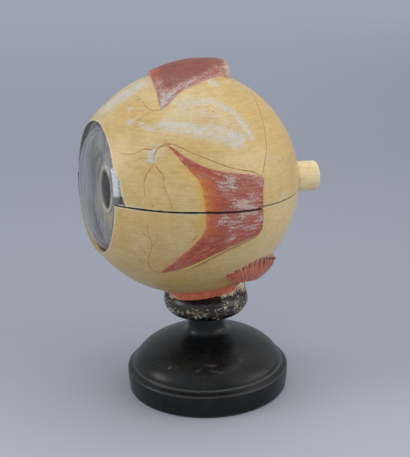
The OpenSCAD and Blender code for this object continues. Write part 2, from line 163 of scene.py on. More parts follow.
def turn_profile(profile, cols, drop=0.0):
    """Turns a profile of (radius, height) round an upright axis, drop below y = 0."""
    angle = np.linspace(0, 2 * math.pi, cols, endpoint=False)
    rows = [np.stack([r * np.cos(angle), r * np.sin(angle) - drop, np.full(cols, h)], 1) for r, h in profile]
    return np.concatenate(rows), lathe_faces(len(profile), cols)


def lathe(profile, cols, drop=0.0):
    """Turns a profile of (radius, forwards) round the gaze axis."""
    points, faces = turn_profile(profile, cols, drop)
    return on_axis(points), faces


def arc(centre, radius, start, end, steps):
    return [
        (centre[0] + radius * math.cos(math.radians(a)), centre[1] + radius * math.sin(math.radians(a)))
        for a in np.linspace(start, end, steps)
    ]


def bend(points, closed, steps=6):
    """A smooth line through given points."""
    p = np.asarray(points, float)
    n = len(p)
    out = []
    for i in range(n if closed else n - 1):
        pick = [(i - 1) % n, i, (i + 1) % n, (i + 2) % n] if closed else \
            [max(i - 1, 0), i, i + 1, min(i + 2, n - 1)]
        a, b, c, d = p[pick]
        for k in range(steps):
            t = k / steps
            out.append(0.5 * (2 * b + (c - a) * t + (2 * a - 5 * b + 4 * c - d) * t ** 2
                              + (3 * b - a - 3 * c + d) * t ** 3))
    if not closed:
        out.append(p[-1])
    return np.array(out)


def line_distance(points, line, closed=False):
    """Distance of each point to a polyline, and how far along it the nearest place is (0 to 1)."""
    line = np.asarray(line, float)
    ends = np.roll(line, -1, 0) if closed else line[1:]
    starts = line if closed else line[:-1]
    best = np.full(len(points), 1e9)
    place = np.zeros(len(points))
    for i, (a, b) in enumerate(zip(starts, ends)):
        d = b - a
        t = np.clip((points - a) @ d / max(d @ d, 1e-9), 0, 1)
        far = np.linalg.norm(points - a - t[:, None] * d, axis=1)
        near = far < best
        best = np.where(near, far, best)
        place = np.where(near, (i + t) / len(starts), place)
    return best, place


def outline_distance(points, outline):
    """Signed distance to a closed outline in a plane, positive inside."""
    far, _ = line_distance(points, outline, True)
    inside = np.zeros(len(points), bool)
    x, y = points[:, 0], points[:, 1]
    for a, b in zip(outline, np.roll(outline, -1, 0)):
        crosses = (a[1] > y) != (b[1] > y)
        rise = b[1] - a[1] if abs(b[1] - a[1]) > 1e-9 else 1e-9
        inside ^= crosses & (x < (b[0] - a[0]) * (y - a[1]) / rise + a[0])
    return np.where(inside, far, -far)


def snap(points, keep, reach, settle=None):
    """Moves points that lie within reach of the line keep = 0 onto it."""
    points = np.array(points, float)
    f = keep(points)
    near = np.abs(f) < reach
    for _ in range(4):
        p = points[near]
        f = keep(p)
        grad = np.stack([
            (keep(p + e) - keep(p - e)) / 0.1 for e in 0.05 * np.eye(points.shape[1])
        ], 1)
        size = np.maximum((grad ** 2).sum(1), 0.2)
        p = p - grad * (f / size)[:, None]
        points[near] = settle(p) if settle else p
    return points


def patch(a, b, at, size):
    """A soft patch in the plane a, b: 1 at its middle, less with distance."""
    return np.exp(-((a - at[0]) / size[0]) ** 2 - ((b - at[1]) / size[1]) ** 2)


def smoothstep(x, lo, hi):
    t = np.clip((x - lo) / (hi - lo), 0, 1)
    return t * t * (3 - 2 * t)


# ---------------------------------------------------------------- shader helpers
def srgb(r, g, b):
    return tuple((c / 255 / 12.92 if c / 255 <= 0.04045 else ((c / 255 + 0.055) / 1.055) ** 2.4)
                 for c in (r, g, b)) + (1.0,)


class Paint:
    """A node tree for one material, with short calls for the nodes it needs."""

    def __init__(self, name):
        self.material = bpy.data.materials.new(name)
        self.material.use_nodes = True
        self.tree = self.material.node_tree
        self.tree.nodes.clear()
        self.out = self.tree.nodes.new("ShaderNodeOutputMaterial")

    def add(self, kind, **settings):
        node = self.tree.nodes.new(kind)
        for key, value in settings.items():
            setattr(node, key, value)
        return node

    def put(self, socket, value):
        if isinstance(value, bpy.types.NodeSocket):
            self.tree.links.new(value, socket)
        elif value is not None:
            socket.default_value = value

    def math(self, operation, a, b=None, c=None, clamp=False):
        node = self.add("ShaderNodeMath", operation=operation, use_clamp=clamp)
        for socket, value in zip(node.inputs, (a, b, c)):
            self.put(socket, value)
        return node.outputs[0]

    def world(self):
        """Place in the shared frame at rest, in millimetres."""
        where = self.add("ShaderNodeTexCoord").outputs["Object"]
        node = self.add("ShaderNodeVectorMath", operation="SCALE")
        self.put(node.inputs[0], where)
        self.put(node.inputs["Scale"], 1 / MM)
        return node.outputs[0]

    def ball(self):
        """Place in the ball's own axes, in millimetres."""
        node = self.add("ShaderNodeMapping", vector_type="TEXTURE")
        self.put(node.inputs["Vector"], self.add("ShaderNodeTexCoord").outputs["Object"])
        node.inputs["Location"].default_value = tuple(BALL_AT * MM)
        node.inputs["Rotation"].default_value = (-TILT, 0, 0)
        node.inputs["Scale"].default_value = (MM, MM, MM)
        return node.outputs[0]

    def stretch(self, vector, scale, turn=(0, 0, 0)):
        node = self.add("ShaderNodeMapping", vector_type="POINT")
        self.put(node.inputs["Vector"], vector)
        node.inputs["Rotation"].default_value = turn
        node.inputs["Scale"].default_value = scale
        return node.outputs[0]

    def split(self, vector):
        node = self.add("ShaderNodeSeparateXYZ")
        self.put(node.inputs[0], vector)
        return node.outputs

    def join(self, x, y, z):
        node = self.add("ShaderNodeCombineXYZ")
        for socket, value in zip(node.inputs, (x, y, z)):
            self.put(socket, value)
        return node.outputs[0]

    def noise(self, vector, scale, detail=3.0, rough=0.55, warp=0.0):
        node = self.add("ShaderNodeTexNoise")
        self.put(node.inputs["Vector"], vector)
        node.inputs["Scale"].default_value = scale
        node.inputs["Detail"].default_value = detail
        node.inputs["Roughness"].default_value = rough
        node.inputs["Distortion"].default_value = warp
        return node.outputs["Fac"]

    def brush(self, vector, scale, detail, rough, warp=0.0):
        """Noise drawn out along the axes where scale is small."""
        return self.noise(self.stretch(vector, scale), 1.0, detail, rough, warp)

    def cells(self, vector, scale, feature="F1"):
        node = self.add("ShaderNodeTexVoronoi", feature=feature)
        self.put(node.inputs["Vector"], vector)
        node.inputs["Scale"].default_value = scale
        return node.outputs["Distance"]

    def attr(self, name):
        return self.add("ShaderNodeAttribute", attribute_name=name).outputs["Fac"]

    def span(self, value, lo, hi, to_lo=0.0, to_hi=1.0):
        """Goes smoothly from to_lo, where value is lo, to to_hi, where it is hi."""
        node = self.add("ShaderNodeMapRange", interpolation_type="SMOOTHSTEP")
        for socket, v in zip(node.inputs, (value, lo, hi, to_lo, to_hi)):
            self.put(socket, v)
        return node.outputs[0]

    def mix(self, factor, a, b):
        node = self.add("ShaderNodeMix", data_type="RGBA", clamp_factor=True)
        self.put(node.inputs[0], factor)
        self.put(node.inputs[6], a)
        self.put(node.inputs[7], b)
        return node.outputs[2]

    def lay(self, under, tone, *masks):
        """Lays tone over the colour under, where all masks are high."""
        return self.mix(self.both(*masks), under, tone)

    def both(self, first, *others):
        for other in others:
            first = self.math("MULTIPLY", first, other)
        return first

    def sum(self, *parts):
        total = parts[-1]
        for part in parts[-2::-1]:
            total = self.math("ADD", part, total)
        return total

    def less(self, a, b):
        return self.math("SUBTRACT", a, b)

    def size(self, a):
        return self.math("ABSOLUTE", a)

    def along(self, x, y, way):
        """How far a place lies in the level direction way."""
        return self.sum(self.both(x, float(way[0])), self.both(y, float(way[1])))

    def either(self, a, b):
        return self.math("MAXIMUM", a, b)

    def bump(self, height, depth, strength):
        node = self.add("ShaderNodeBump")
        node.inputs["Strength"].default_value = strength
        node.inputs["Distance"].default_value = depth * MM
        self.put(node.inputs["Height"], height)
        return node.outputs[0]

    def finish(self, color, rough, normal=None, **fixed):
        shader = self.add("ShaderNodeBsdfPrincipled")
        self.put(shader.inputs["Base Color"], color)
        self.put(shader.inputs["Roughness"], rough)
        self.put(shader.inputs["Normal"], normal)
        for key, value in fixed.items():
            self.put(shader.inputs[key.replace("_", " ")], value)
        self.put(self.out.inputs["Surface"], shader.outputs[0])
        return self.material


# ---------------------------------------------------------------- materials
OCHRE = srgb(213, 178, 108)
OCHRE_PALE = srgb(220, 194, 140)
OCHRE_GREEN = srgb(196, 165, 94)
OCHRE_WARM = srgb(214, 176, 92)
GESSO = srgb(213, 211, 204)
GESSO_BLUE = srgb(196, 203, 207)
GRIME = srgb(74, 58, 36)
RED = srgb(178, 84, 58)
RED_DARK = srgb(148, 60, 42)
RED_PINK = srgb(198, 122, 102)
GLASS_TINT = (srgb(154, 155, 163), srgb(176, 181, 190), srgb(74, 75, 76))
LENS_TINT = (srgb(62, 64, 72), srgb(84, 88, 96), srgb(50, 52, 58))
VITREOUS_TINT = (srgb(150, 160, 166), srgb(176, 184, 188), srgb(120, 128, 132))
RUST = srgb(194, 94, 66)
RUST_DARK = srgb(160, 70, 50)
RUST_PALE = srgb(222, 146, 110)
ORANGE = srgb(204, 116, 52)
ORANGE_PALE = srgb(222, 160, 68)


def sclera_colour(p, at):
    """Ochre oil paint brushed on in fine level strokes."""
    _, y, z = p.split(at)
    clouds = p.noise(at, 0.035, 4, 0.6)
    patches = p.noise(at, 0.11, 3, 0.6)
    mottle = p.noise(at, 0.32, 4, 0.75, 0.4)
    strokes = p.brush(at, (0.09, 0.09, 1.2), 3, 0.6, 0.5)
    fine = p.brush(at, (0.2, 0.2, 3.0), 2, 0.6, 0.2)
    lower = p.span(z, -60.0, 5.0, 1.0, 0.0)
    back_top = p.both(p.span(y, 0.0, 45.0), p.span(z, -5.0, 50.0))
    color = p.mix(p.span(clouds, 0.35, 0.65), OCHRE, OCHRE_PALE)
    color = p.lay(color, OCHRE_WARM, back_top, 0.75)
    color = p.lay(color, OCHRE_GREEN, p.span(patches, 0.42, 0.7), 0.55)
    # painted shade: the ochre turns darker and more olive towards the bottom of the ball
    color = p.lay(color, srgb(178, 147, 80), lower, 0.62)
    # a paler, creamier patch low on the back of the ball: paler paint, lightened further as painted light
    pale_and_lit_low_back = p.both(p.span(y, 10.0, 48.0), p.span(z, 4.0, -6.0), p.span(z, -52.0, -34.0))
    color = p.lay(color, srgb(228, 204, 150), pale_and_lit_low_back, p.span(patches, 0.3, 0.6, 0.35, 0.75))
    color = p.lay(color, srgb(224, 196, 136), p.span(mottle, 0.5, 0.68), 0.4)
    color = p.lay(color, srgb(190, 152, 84), p.span(mottle, 0.46, 0.32), 0.4)
    color = p.lay(color, OCHRE_PALE, p.span(strokes, 0.45, 0.75), 0.35)
    color = p.lay(color, srgb(178, 142, 80), p.span(strokes, 0.52, 0.28), 0.35)
    color = p.lay(color, srgb(164, 134, 76), p.span(fine, 0.55, 0.3), 0.25)
    return color, strokes, fine, patches


def painted_skin():
    """The painted layer on the ball, with its rubbed patches, specks and worn edges."""
    p = Paint("sclera_skin")
    at = p.ball()
    color, strokes, fine, patches = sclera_colour(p, at)
    _, y, z = p.split(at)
    rub = p.attr("rub")
    scrape = p.brush(at, (0.3, 0.3, 1.05), 3, 0.7, 0.9)
    cross = p.brush(at, (0.9, 0.9, 0.34), 3, 0.7, 0.5)
    fleck = p.noise(at, 0.8, 5, 0.85, 0.5)
    broken = p.sum(p.both(scrape, 0.8), p.both(cross, 0.45), p.both(fleck, 0.5))
    worn = p.span(p.sum(p.both(rub, 0.42), broken), 1.06, 1.26)
    thin = p.span(p.noise(at, 0.2, 4, 0.7, 0.4), 0.38, 0.6, 0.5, 1.0)
    worn = p.both(worn, p.both(thin, p.span(rub, 0.03, 0.2)))
    worn = p.either(worn, p.both(p.span(rub, 0.1, 1.0), 0.3))
    pale = p.mix(p.span(patches, 0.35, 0.65), GESSO, GESSO_BLUE)
    pale = p.lay(pale, srgb(180, 172, 152), p.span(fleck, 0.55, 0.4), 0.35)
    color = p.lay(color, pale, worn, 0.86)
    # orange and red brush strokes that run off the side muscles
    front = p.attr("front")
    stroke = p.brush(at, (0.1, 0.1, 1.3), 3, 0.65)
    ragged = p.sum(front, p.both(p.less(stroke, 0.5), 16.0))
    middle = p.span(p.size(p.less(z, 7.0)), 27.0, 12.0)
    color = p.lay(color, srgb(226, 178, 78), p.span(ragged, -9.0, -1.0), middle, 0.42)
    color = p.lay(color, ORANGE_PALE, p.span(ragged, -3.5, 0.5), middle, 0.6)
    arm = p.both(p.span(ragged, -2.4, 0.4), p.less(1.0, middle))
    color = p.lay(color, srgb(206, 132, 96), arm, 0.65)
    # below the side muscles' lower arms: a brown line of painted shade in the fold where the relief meets the
    # ball, and beside it a lighter yellow line of painted highlight along the relief's edge
    color = p.lay(color, srgb(226, 186, 96), p.attr("painted_edge_highlight"), 0.75)
    color = p.lay(color, srgb(122, 84, 44), p.attr("painted_crease_shade"), p.span(fleck, 0.3, 0.6, 0.45, 0.85))
    # edges of the paint: worn pale, then dark with dirt
    edge = p.attr("edge")
    wear = p.span(p.less(edge, p.both(fleck, 2.2)), -0.7, 0.3, 1.0, 0.0)
    front_lip = p.span(y, -30.0, -48.0, 0.35, 0.6)
    color = p.lay(color, srgb(228, 214, 178), wear, front_lip)
    grime = p.attr("grime")
    color = p.lay(color, GRIME, p.span(p.sum(grime, p.both(fleck, 0.5)), 0.75, 1.2), 0.7)
    # specks and pits
    specks = p.span(p.cells(at, 0.12), 0.05, 0.075, 1.0, 0.0)
    speck_pick = p.span(p.noise(at, 0.05, 2), 0.52, 0.6)
    color = p.lay(color, srgb(96, 84, 66), specks, speck_pick, 0.75)
    pits = p.span(p.noise(at, 1.7, 3, 0.8), 0.66, 0.74)
    color = p.lay(color, srgb(136, 112, 68), pits, 0.3)
    height = p.sum(p.both(strokes, 0.5), p.both(fine, 0.35), p.both(worn, -0.7))
    normal = p.bump(height, 0.16, 0.55)
    rough = p.span(worn, 0.0, 1.0, 0.36, 0.62)
    return p.finish(color, rough, normal, Coat_Weight=0.25, Coat_Roughness=0.3)


def plaster(name, tint, dark):
    """Bare cast plaster with dirt and painted shade, for the wall under the paint and the cut faces."""
    p = Paint(name)
    at = p.ball()
    x, y, z = p.split(at)
    big = p.noise(at, 0.08, 4, 0.65)
    grain = p.noise(at, 0.9, 4, 0.7)
    color = p.mix(p.span(big, 0.35, 0.68), tint, dark)
    color = p.lay(color, srgb(150, 140, 122), p.span(grain, 0.5, 0.7), 0.35)
    side = p.along(x, y, GAZE_SIDE)
    ahead = p.along(x, y, GAZE)
    away = p.math("SQRT", p.sum(p.both(side, side), p.both(z, z)))
    # the wall of the opening: a dark brown band just inside the rim is painted shade of the gap round the
    # glass, with old dirt in it; elsewhere the wall is pale plaster, yellow-brown low down, and the chip is
    # left bare
    wall = p.both(p.span(away, 43.0, 42.2), p.span(ahead, IRIS_FRONT - 4, IRIS_FRONT - 2))
    lip = p.span(ahead, OPENING_U - 1.7, OPENING_U - 0.9)
    low_lip = p.span(ahead, OPENING_U - 1.5, OPENING_U - 0.7)
    low = p.span(z, -12.0, -22.0)
    gap_shade_and_dirt = p.sum(p.both(lip, p.less(1.0, low)), p.both(low, p.less(1.0, low_lip)))
    tone = p.mix(low, srgb(214, 214, 214), srgb(186, 166, 118))
    tone = p.lay(tone, srgb(70, 52, 36), gap_shade_and_dirt, p.span(grain, 0.3, 0.6, 0.95, 0.7))
    color = p.lay(color, tone, wall, 0.95)
    chip = p.both(p.span(ahead, 50.0, 51.0), p.span(side, 27.0, 29.0), p.span(z, 0.1, 0.3))
    chip = p.both(chip, p.span(away, 49.0, 48.5))
    scored = p.brush(at, (1.4, 1.4, 0.3), 3, 0.7, 0.4)
    bare = p.mix(p.span(scored, 0.38, 0.62), srgb(232, 236, 236), srgb(196, 206, 210))
    bare = p.lay(bare, srgb(150, 158, 160), p.span(grain, 0.56, 0.66), 0.5)
    bare = p.lay(bare, p.mix(p.span(grain, 0.4, 0.6), srgb(120, 120, 116), srgb(84, 84, 82)),
                 p.span(z, 5.6, 4.2))
    color = p.lay(color, bare, chip, 0.95)
    # dirt in the seam, darkest in front
    seam = p.span(p.size(z), 0.95, 0.4)
    far = p.add("ShaderNodeVectorMath", operation="LENGTH")
    p.put(far.inputs[0], at)
    outer = p.span(far.outputs["Value"], 70.4, 71.2)
    dirt = p.mix(p.span(y, 24.0, 32.0), srgb(34, 22, 12), srgb(172, 150, 98))
    color = p.lay(color, dirt, seam, outer, 0.95)
    return p.finish(color, 0.75, p.bump(p.sum(grain, big), 0.25, 0.5))


def inner_layer(name, base, shade, vessel, amount):
    """A painted inner layer with fine branching vessels."""
    p = Paint(name)
    at = p.ball()
    big = p.noise(at, 0.07, 4, 0.6)
    grain = p.noise(at, 0.8, 3, 0.7)
    bent = p.add("ShaderNodeVectorMath", operation="ADD")
    p.put(bent.inputs[0], at)
    wobble = p.add("ShaderNodeTexNoise")
    p.put(wobble.inputs["Vector"], at)
    wobble.inputs["Scale"].default_value = 0.12
    scaled = p.add("ShaderNodeVectorMath", operation="SCALE")
    p.put(scaled.inputs[0], wobble.outputs["Color"])
    p.put(scaled.inputs["Scale"], 9.0)
    p.put(bent.inputs[1], scaled.outputs[0])
    net = p.cells(bent.outputs[0], 0.055, "DISTANCE_TO_EDGE")
    lines = p.span(net, 0.012, 0.04, 1.0, 0.0)
    color = p.mix(p.span(big, 0.3, 0.7), base, shade)
    color = p.lay(color, vessel, lines, amount)
    color = p.lay(color, shade, p.span(grain, 0.55, 0.75), 0.3)
    return p.finish(color, 0.5, p.bump(p.sum(grain, p.both(lines, 0.6)), 0.2, 0.5), Coat_Weight=0.15)


def muscle_paint(name, tones, white=0.8, warm=False, seat=0.0, crest=0.0, film=0.0, chipped=0.0):
    """Red oil paint in strokes along the fibres, rubbed to the white ground on the high parts."""
    p = Paint(name)
    at = p.ball()
    base, shade, pink = tones
    across, run = p.attr("across"), p.attr("run")
    edge, rub = p.attr("edge"), p.attr("rub")
    fibre = p.noise(p.join(p.both(run, 0.12), p.both(across, 0.95), seat), 1.0, 4, 0.65, 0.6)
    thread = p.noise(p.join(p.both(run, 0.25), p.both(across, 2.6), seat + 5.0), 1.0, 3, 0.7, 0.3)
    hatch = p.noise(p.join(p.both(p.sum(run, p.both(across, 0.4)), 1.5), p.both(across, 0.6), seat), 1.0, 3,
                    0.75, 0.4)
    big = p.noise(at, 0.12, 4, 0.65)
    grit = p.noise(at, 0.95, 4, 0.8)
    color = p.mix(p.span(big, 0.35, 0.65), base, shade)
    color = p.lay(color, pink, p.span(fibre, 0.46, 0.64), 0.7)
    color = p.lay(color, shade, p.span(thread, 0.52, 0.34), 0.6)
    if crest:
        color = p.lay(color, srgb(112, 52, 42), p.span(edge, 2.5, 9.0), crest)
    if warm:
        ragged = p.sum(p.both(p.less(fibre, 0.5), 18.0), p.both(p.less(hatch, 0.5), 12.0))
        place = p.sum(p.attr("front"), ragged)
        color = p.lay(color, srgb(206, 98, 54), p.span(place, 11.0, 3.5), p.attr("warm"), 0.75)
        color = p.lay(color, ORANGE, p.span(place, 6.0, 1.5), p.attr("warm"))
        color = p.lay(color, ORANGE_PALE, p.span(place, 2.2, -1.2), p.attr("warm"), 0.85)
        arm = p.both(p.span(place, 1.2, -1.8), p.less(1.0, p.attr("warm")))
        color = p.lay(color, srgb(216, 156, 118), arm, 0.7)
    if film:
        haze = p.both(p.span(p.sum(rub, p.both(p.less(big, 0.5), 0.6)), 0.1, 0.42), film)
        color = p.lay(color, srgb(198, 142, 124), haze)
    groove = p.attr("groove")
    color = p.lay(color, srgb(72, 36, 26), p.span(groove, 0.1, 0.7), 0.95)
    layers = p.sum(p.both(grit, 0.6), p.both(fibre, 0.65), p.both(hatch, 0.4))
    worn = p.both(p.span(p.sum(layers, rub), 1.12, 1.24), p.span(rub, 0.01, 0.12))
    color = p.lay(color, p.mix(p.span(big, 0.4, 0.6), GESSO, srgb(214, 190, 180)), worn, white)
    chips = p.noise(at, 0.5, 4, 0.85, 0.6)
    flakes = p.both(p.span(p.sum(chips, p.both(rub, 0.12)), 0.63 - chipped, 0.67 - chipped),
                    p.span(rub, 0.15 - chipped, 0.4 - 3 * chipped))
    color = p.lay(color, srgb(228, 224, 214), flakes, white)
    pale = p.span(p.less(edge, p.both(grit, 1.6)), -0.6, 0.1, 1.0, 0.0)
    pale = p.both(pale, p.span(p.attr("front"), 1.5, 4.0))
    color = p.lay(color, srgb(230, 206, 180), pale, 0.4)
    lip = p.span(p.size(p.split(at)[2]), 1.0, 0.6)
    color = p.lay(color, srgb(82, 30, 22), lip, 0.8)
    specks = p.span(p.noise(at, 1.3, 2, 0.9), 0.63, 0.7)
    color = p.lay(color, srgb(78, 34, 30), specks, 0.5)
    height = p.sum(p.both(fibre, 0.8), p.both(thread, 0.5), p.both(worn, 0.3))
    height = p.sum(height, p.both(flakes, 0.9))
    return p.finish(color, p.span(worn, 0.0, 1.0, 0.4, 0.68), p.bump(height, 0.4, 0.8), Coat_Weight=0.15,
                    Coat_Roughness=0.35)


def pad_paint():
    """The lower muscle's edge: orange-red paint over plaster, paler along its lower edge."""
    p = Paint("pad_paint")
    at = p.ball()
    fibre = p.brush(at, (0.5, 0.12, 0.12), 4, 0.7, 0.6)
    grit = p.noise(at, 1.1, 4, 0.8)
    z = p.split(p.world())[2]
    color = p.mix(p.span(fibre, 0.35, 0.7), srgb(178, 82, 52), srgb(208, 112, 70))
    color = p.lay(color, srgb(216, 160, 126), p.span(grit, 0.55, 0.66), 0.5)
    color = p.lay(color, srgb(222, 176, 146), p.span(p.less(z, grit), 72.6, 71.9), 0.7)
    color = p.lay(color, srgb(84, 40, 30), p.span(grit, 0.42, 0.32), 0.5)
    return p.finish(color, 0.5, p.bump(p.sum(fibre, grit), 0.4, 0.7))


def vessel_paint(name, tone, faded):
    """Thin glaze lines, faded where the brush ran dry."""
    p = Paint(name)
    at = p.ball()
    dry = p.noise(at, 0.5, 3, 0.7)
    color = p.mix(p.span(dry, 0.36, 0.6), tone, faded)
    return p.finish(color, 0.45, p.bump(dry, 0.05, 0.4))


def turned_wood():
    """Ebonised foot: satin black, rubbed brown-grey along edges and turning lines."""
    p = Paint("ebonised")
    at = p.world()
    x, y, z = p.split(at)
    grain = p.brush(at, (0.1, 0.9, 0.9), 4, 0.6, 0.5)
    haze = p.noise(at, 0.05, 4, 0.6)
    dust = p.noise(at, 0.7, 4, 0.8)
    radius = p.math("SQRT", p.sum(p.both(x, x), p.both(y, y)))
    rings = p.noise(p.join(0.0, p.both(radius, 1.4), p.both(z, 1.4)), 1.0, 3, 0.6)
    color = p.mix(p.span(haze, 0.35, 0.7), srgb(14, 15, 16), srgb(24, 26, 28))
    color = p.lay(color, srgb(32, 33, 34), p.span(grain, 0.5, 0.75), 0.35)
    wear = p.both(p.attr("edge"), p.span(dust, 0.3, 0.6, 0.5, 1.0))
    color = p.lay(color, srgb(112, 114, 112), wear, 0.75)
    scuff = p.span(p.noise(p.stretch(at, (0.3, 0.12, 1.2), (0, 0, 0.5)), 1.0, 3, 0.75), 0.65, 0.72)
    color = p.lay(color, srgb(120, 120, 116), scuff, 0.3)
    motes = p.span(p.noise(at, 1.2, 2, 0.9), 0.68, 0.74)
    color = p.lay(color, srgb(116, 116, 114), motes, 0.45)
    height = p.sum(p.both(rings, 0.6), p.both(grain, 0.35), p.both(haze, 1.0))
    rough = p.span(p.sum(p.both(haze, 0.6), p.both(dust, 0.4)), 0.35, 0.65, 0.24, 0.38)
    return p.finish(color, rough, p.bump(height, 0.12, 0.5), Specular_IOR_Level=0.24, Coat_Weight=0.05,
                    Coat_Roughness=0.2)


def worn_collar():
    """Black varnish over gold size, rubbed through to gold and cream."""
    p = Paint("worn_gilt_collar")
    at = p.world()
    x, y, z = p.split(at)
    turn = p.both(p.math("ARCTAN2", y, x), 24.0)
    level = p.join(p.both(turn, 0.2), p.both(z, 0.6), 0.0)
    side = p.along(x, y, PHOTO_SIDE)
    big = p.noise(at, 0.12, 4, 0.65)
    drag = p.noise(level, 1.0, 5, 0.75, 1.4)
    grit = p.noise(at, 0.32, 5, 0.85, 0.8)
    fine = p.noise(at, 1.3, 3, 0.85)
    middle = p.both(p.span(z, 56.5, 59.5), p.span(z, 67.0, 63.0))
    right = p.both(p.span(side, 6.0, 12.0), p.span(side, 25.0, 21.0), p.span(z, 62.0, 68.0))
    left = p.both(p.span(side, -17.0, -23.0), p.span(z, 65.0, 68.0))
    favour = p.sum(p.both(middle, 0.08), p.both(right, 0.08), p.both(left, 0.1))
    place = p.sum(p.both(drag, 0.75), p.both(grit, 0.7), favour)
    worn = p.span(place, 0.83, 0.89)
    gold = p.span(p.sum(p.both(big, 0.6), p.both(fine, 0.4), p.both(right, -0.2)), 0.48, 0.58)
    color = p.mix(p.span(drag, 0.35, 0.65), srgb(9, 9, 10), srgb(26, 22, 21))
    under = p.mix(gold, srgb(222, 212, 188), srgb(196, 154, 70))
    under = p.lay(under, srgb(222, 192, 172), left)
    color = p.lay(color, under, worn, p.span(fine, 0.3, 0.55, 0.6, 1.0))
    color = p.lay(color, srgb(56, 32, 26), p.span(grit, 0.42, 0.34), 0.6)
    rough = p.span(worn, 0.0, 1.0, 0.12, 0.5)
    return p.finish(color, rough, p.bump(p.sum(p.both(worn, -0.6), p.both(grit, 0.9)), 0.5, 0.8),
                    Specular_IOR_Level=0.35, Coat_Weight=0.35, Coat_Roughness=0.05)


def putty():
    """Old filler: lumpy cream with pink, chipped and specked with black varnish."""
    p = Paint("old_putty")
    at = p.world()
    y = p.split(at)[1]
    lumps = p.noise(at, 0.3, 4, 0.6)
    ragged = p.noise(at, 0.45, 5, 0.8, 0.6)
    grit = p.noise(at, 1.1, 4, 0.8)
    color = p.mix(p.span(lumps, 0.35, 0.65), srgb(232, 220, 194), srgb(210, 188, 154))
    color = p.lay(color, srgb(222, 188, 168), p.span(y, -8.0, -20.0), 0.7)
    color = p.lay(color, srgb(140, 104, 76), p.span(grit, 0.53, 0.64), 0.6)
    stain = p.span(p.sum(ragged, p.both(p.attr("edge"), 0.3)), 0.6, 0.68)
    color = p.lay(color, srgb(26, 20, 18), stain, 0.95)
    return p.finish(color, 0.7, p.bump(p.sum(p.both(lumps, 2.0), p.both(ragged, 2.0)), 0.9, 0.9))


def nerve_paint():
    p = Paint("nerve_paint")
    at = p.ball()
    y = p.split(at)[1]
    strokes = p.brush(at, (0.5, 0.08, 0.5), 4, 0.65, 0.3)
    big = p.noise(at, 0.12, 3, 0.6)
    grit = p.noise(at, 1.2, 4, 0.8)
    color = p.mix(p.span(big, 0.35, 0.65), srgb(246, 228, 182), srgb(238, 214, 158))
    color = p.lay(color, srgb(180, 146, 88), p.span(strokes, 0.5, 0.3), 0.4)
    root = p.span(y, 74.0, 70.5)
    color = p.lay(color, srgb(120, 92, 54), root, 0.6)
    end = p.both(p.span(y, 85.2, 87.3), p.span(grit, 0.35, 0.6))
    color = p.lay(color, srgb(232, 220, 190), end, 0.6)
    color = p.lay(color, srgb(130, 104, 64), p.span(grit, 0.62, 0.7), 0.4)
    return p.finish(color, 0.4, p.bump(p.sum(strokes, p.both(grit, 0.5)), 0.15, 0.5), Coat_Weight=0.25,
                    Coat_Roughness=0.3)


def iris_paint():
    """Grey iris with fine radial and upright streaks, darker towards its edge."""
    p = Paint("iris_paint")
    at = p.ball()
    x, y, z = p.split(at)
    ring, turn = p.attr("ring"), p.attr("turn")
    spokes = p.noise(p.join(p.both(turn, 40.0), p.both(ring, 2.2), 0.0), 1.0, 4, 0.7, 0.4)
    upright = p.brush(at, (0.42, 0.42, 0.05), 4, 0.65, 0.3)
    big = p.noise(at, 0.06, 3, 0.6)
    color = p.mix(p.span(spokes, 0.3, 0.7), srgb(156, 154, 150), srgb(192, 190, 185))
    color = p.lay(color, srgb(84, 84, 80), p.span(upright, 0.5, 0.36), 0.75)
    color = p.lay(color, srgb(194, 195, 196), p.span(upright, 0.54, 0.68), 0.5)
    color = p.lay(color, srgb(104, 104, 104), p.span(ring, 0.8, 1.0), 0.45)
    color = p.lay(color, srgb(206, 198, 168), p.span(ring, 0.2, 0.0), 0.6)
    under = p.both(p.span(z, -14.0, -18.0), p.span(ring, 0.5, 0.2))
    color = p.lay(color, srgb(214, 196, 142), under, 0.6)
    color = p.lay(color, srgb(186, 178, 156), p.span(big, 0.5, 0.7), 0.25)
    # the wall of the pupil is dark
    ahead = p.along(x, y, GAZE)
    hole = p.both(p.span(ahead, IRIS_FRONT - 0.1, IRIS_FRONT - 0.25), p.span(ring, 0.02, 0.005))
    color = p.lay(color, srgb(70, 72, 80), hole)
    return p.finish(color, 0.5, p.bump(p.sum(spokes, p.both(upright, 0.4)), 0.25, 0.6))


def ivory():
    p = Paint("aged_ivory")
    at = p.ball()
    big = p.noise(at, 0.25, 4, 0.6)
    grit = p.noise(at, 1.8, 3, 0.8)
    color = p.mix(p.span(big, 0.35, 0.65), srgb(236, 226, 198), srgb(216, 202, 166))
    color = p.lay(color, srgb(130, 116, 88), p.span(grit, 0.55, 0.7), 0.45)
    return p.finish(color, 0.4, p.bump(grit, 0.1, 0.4))


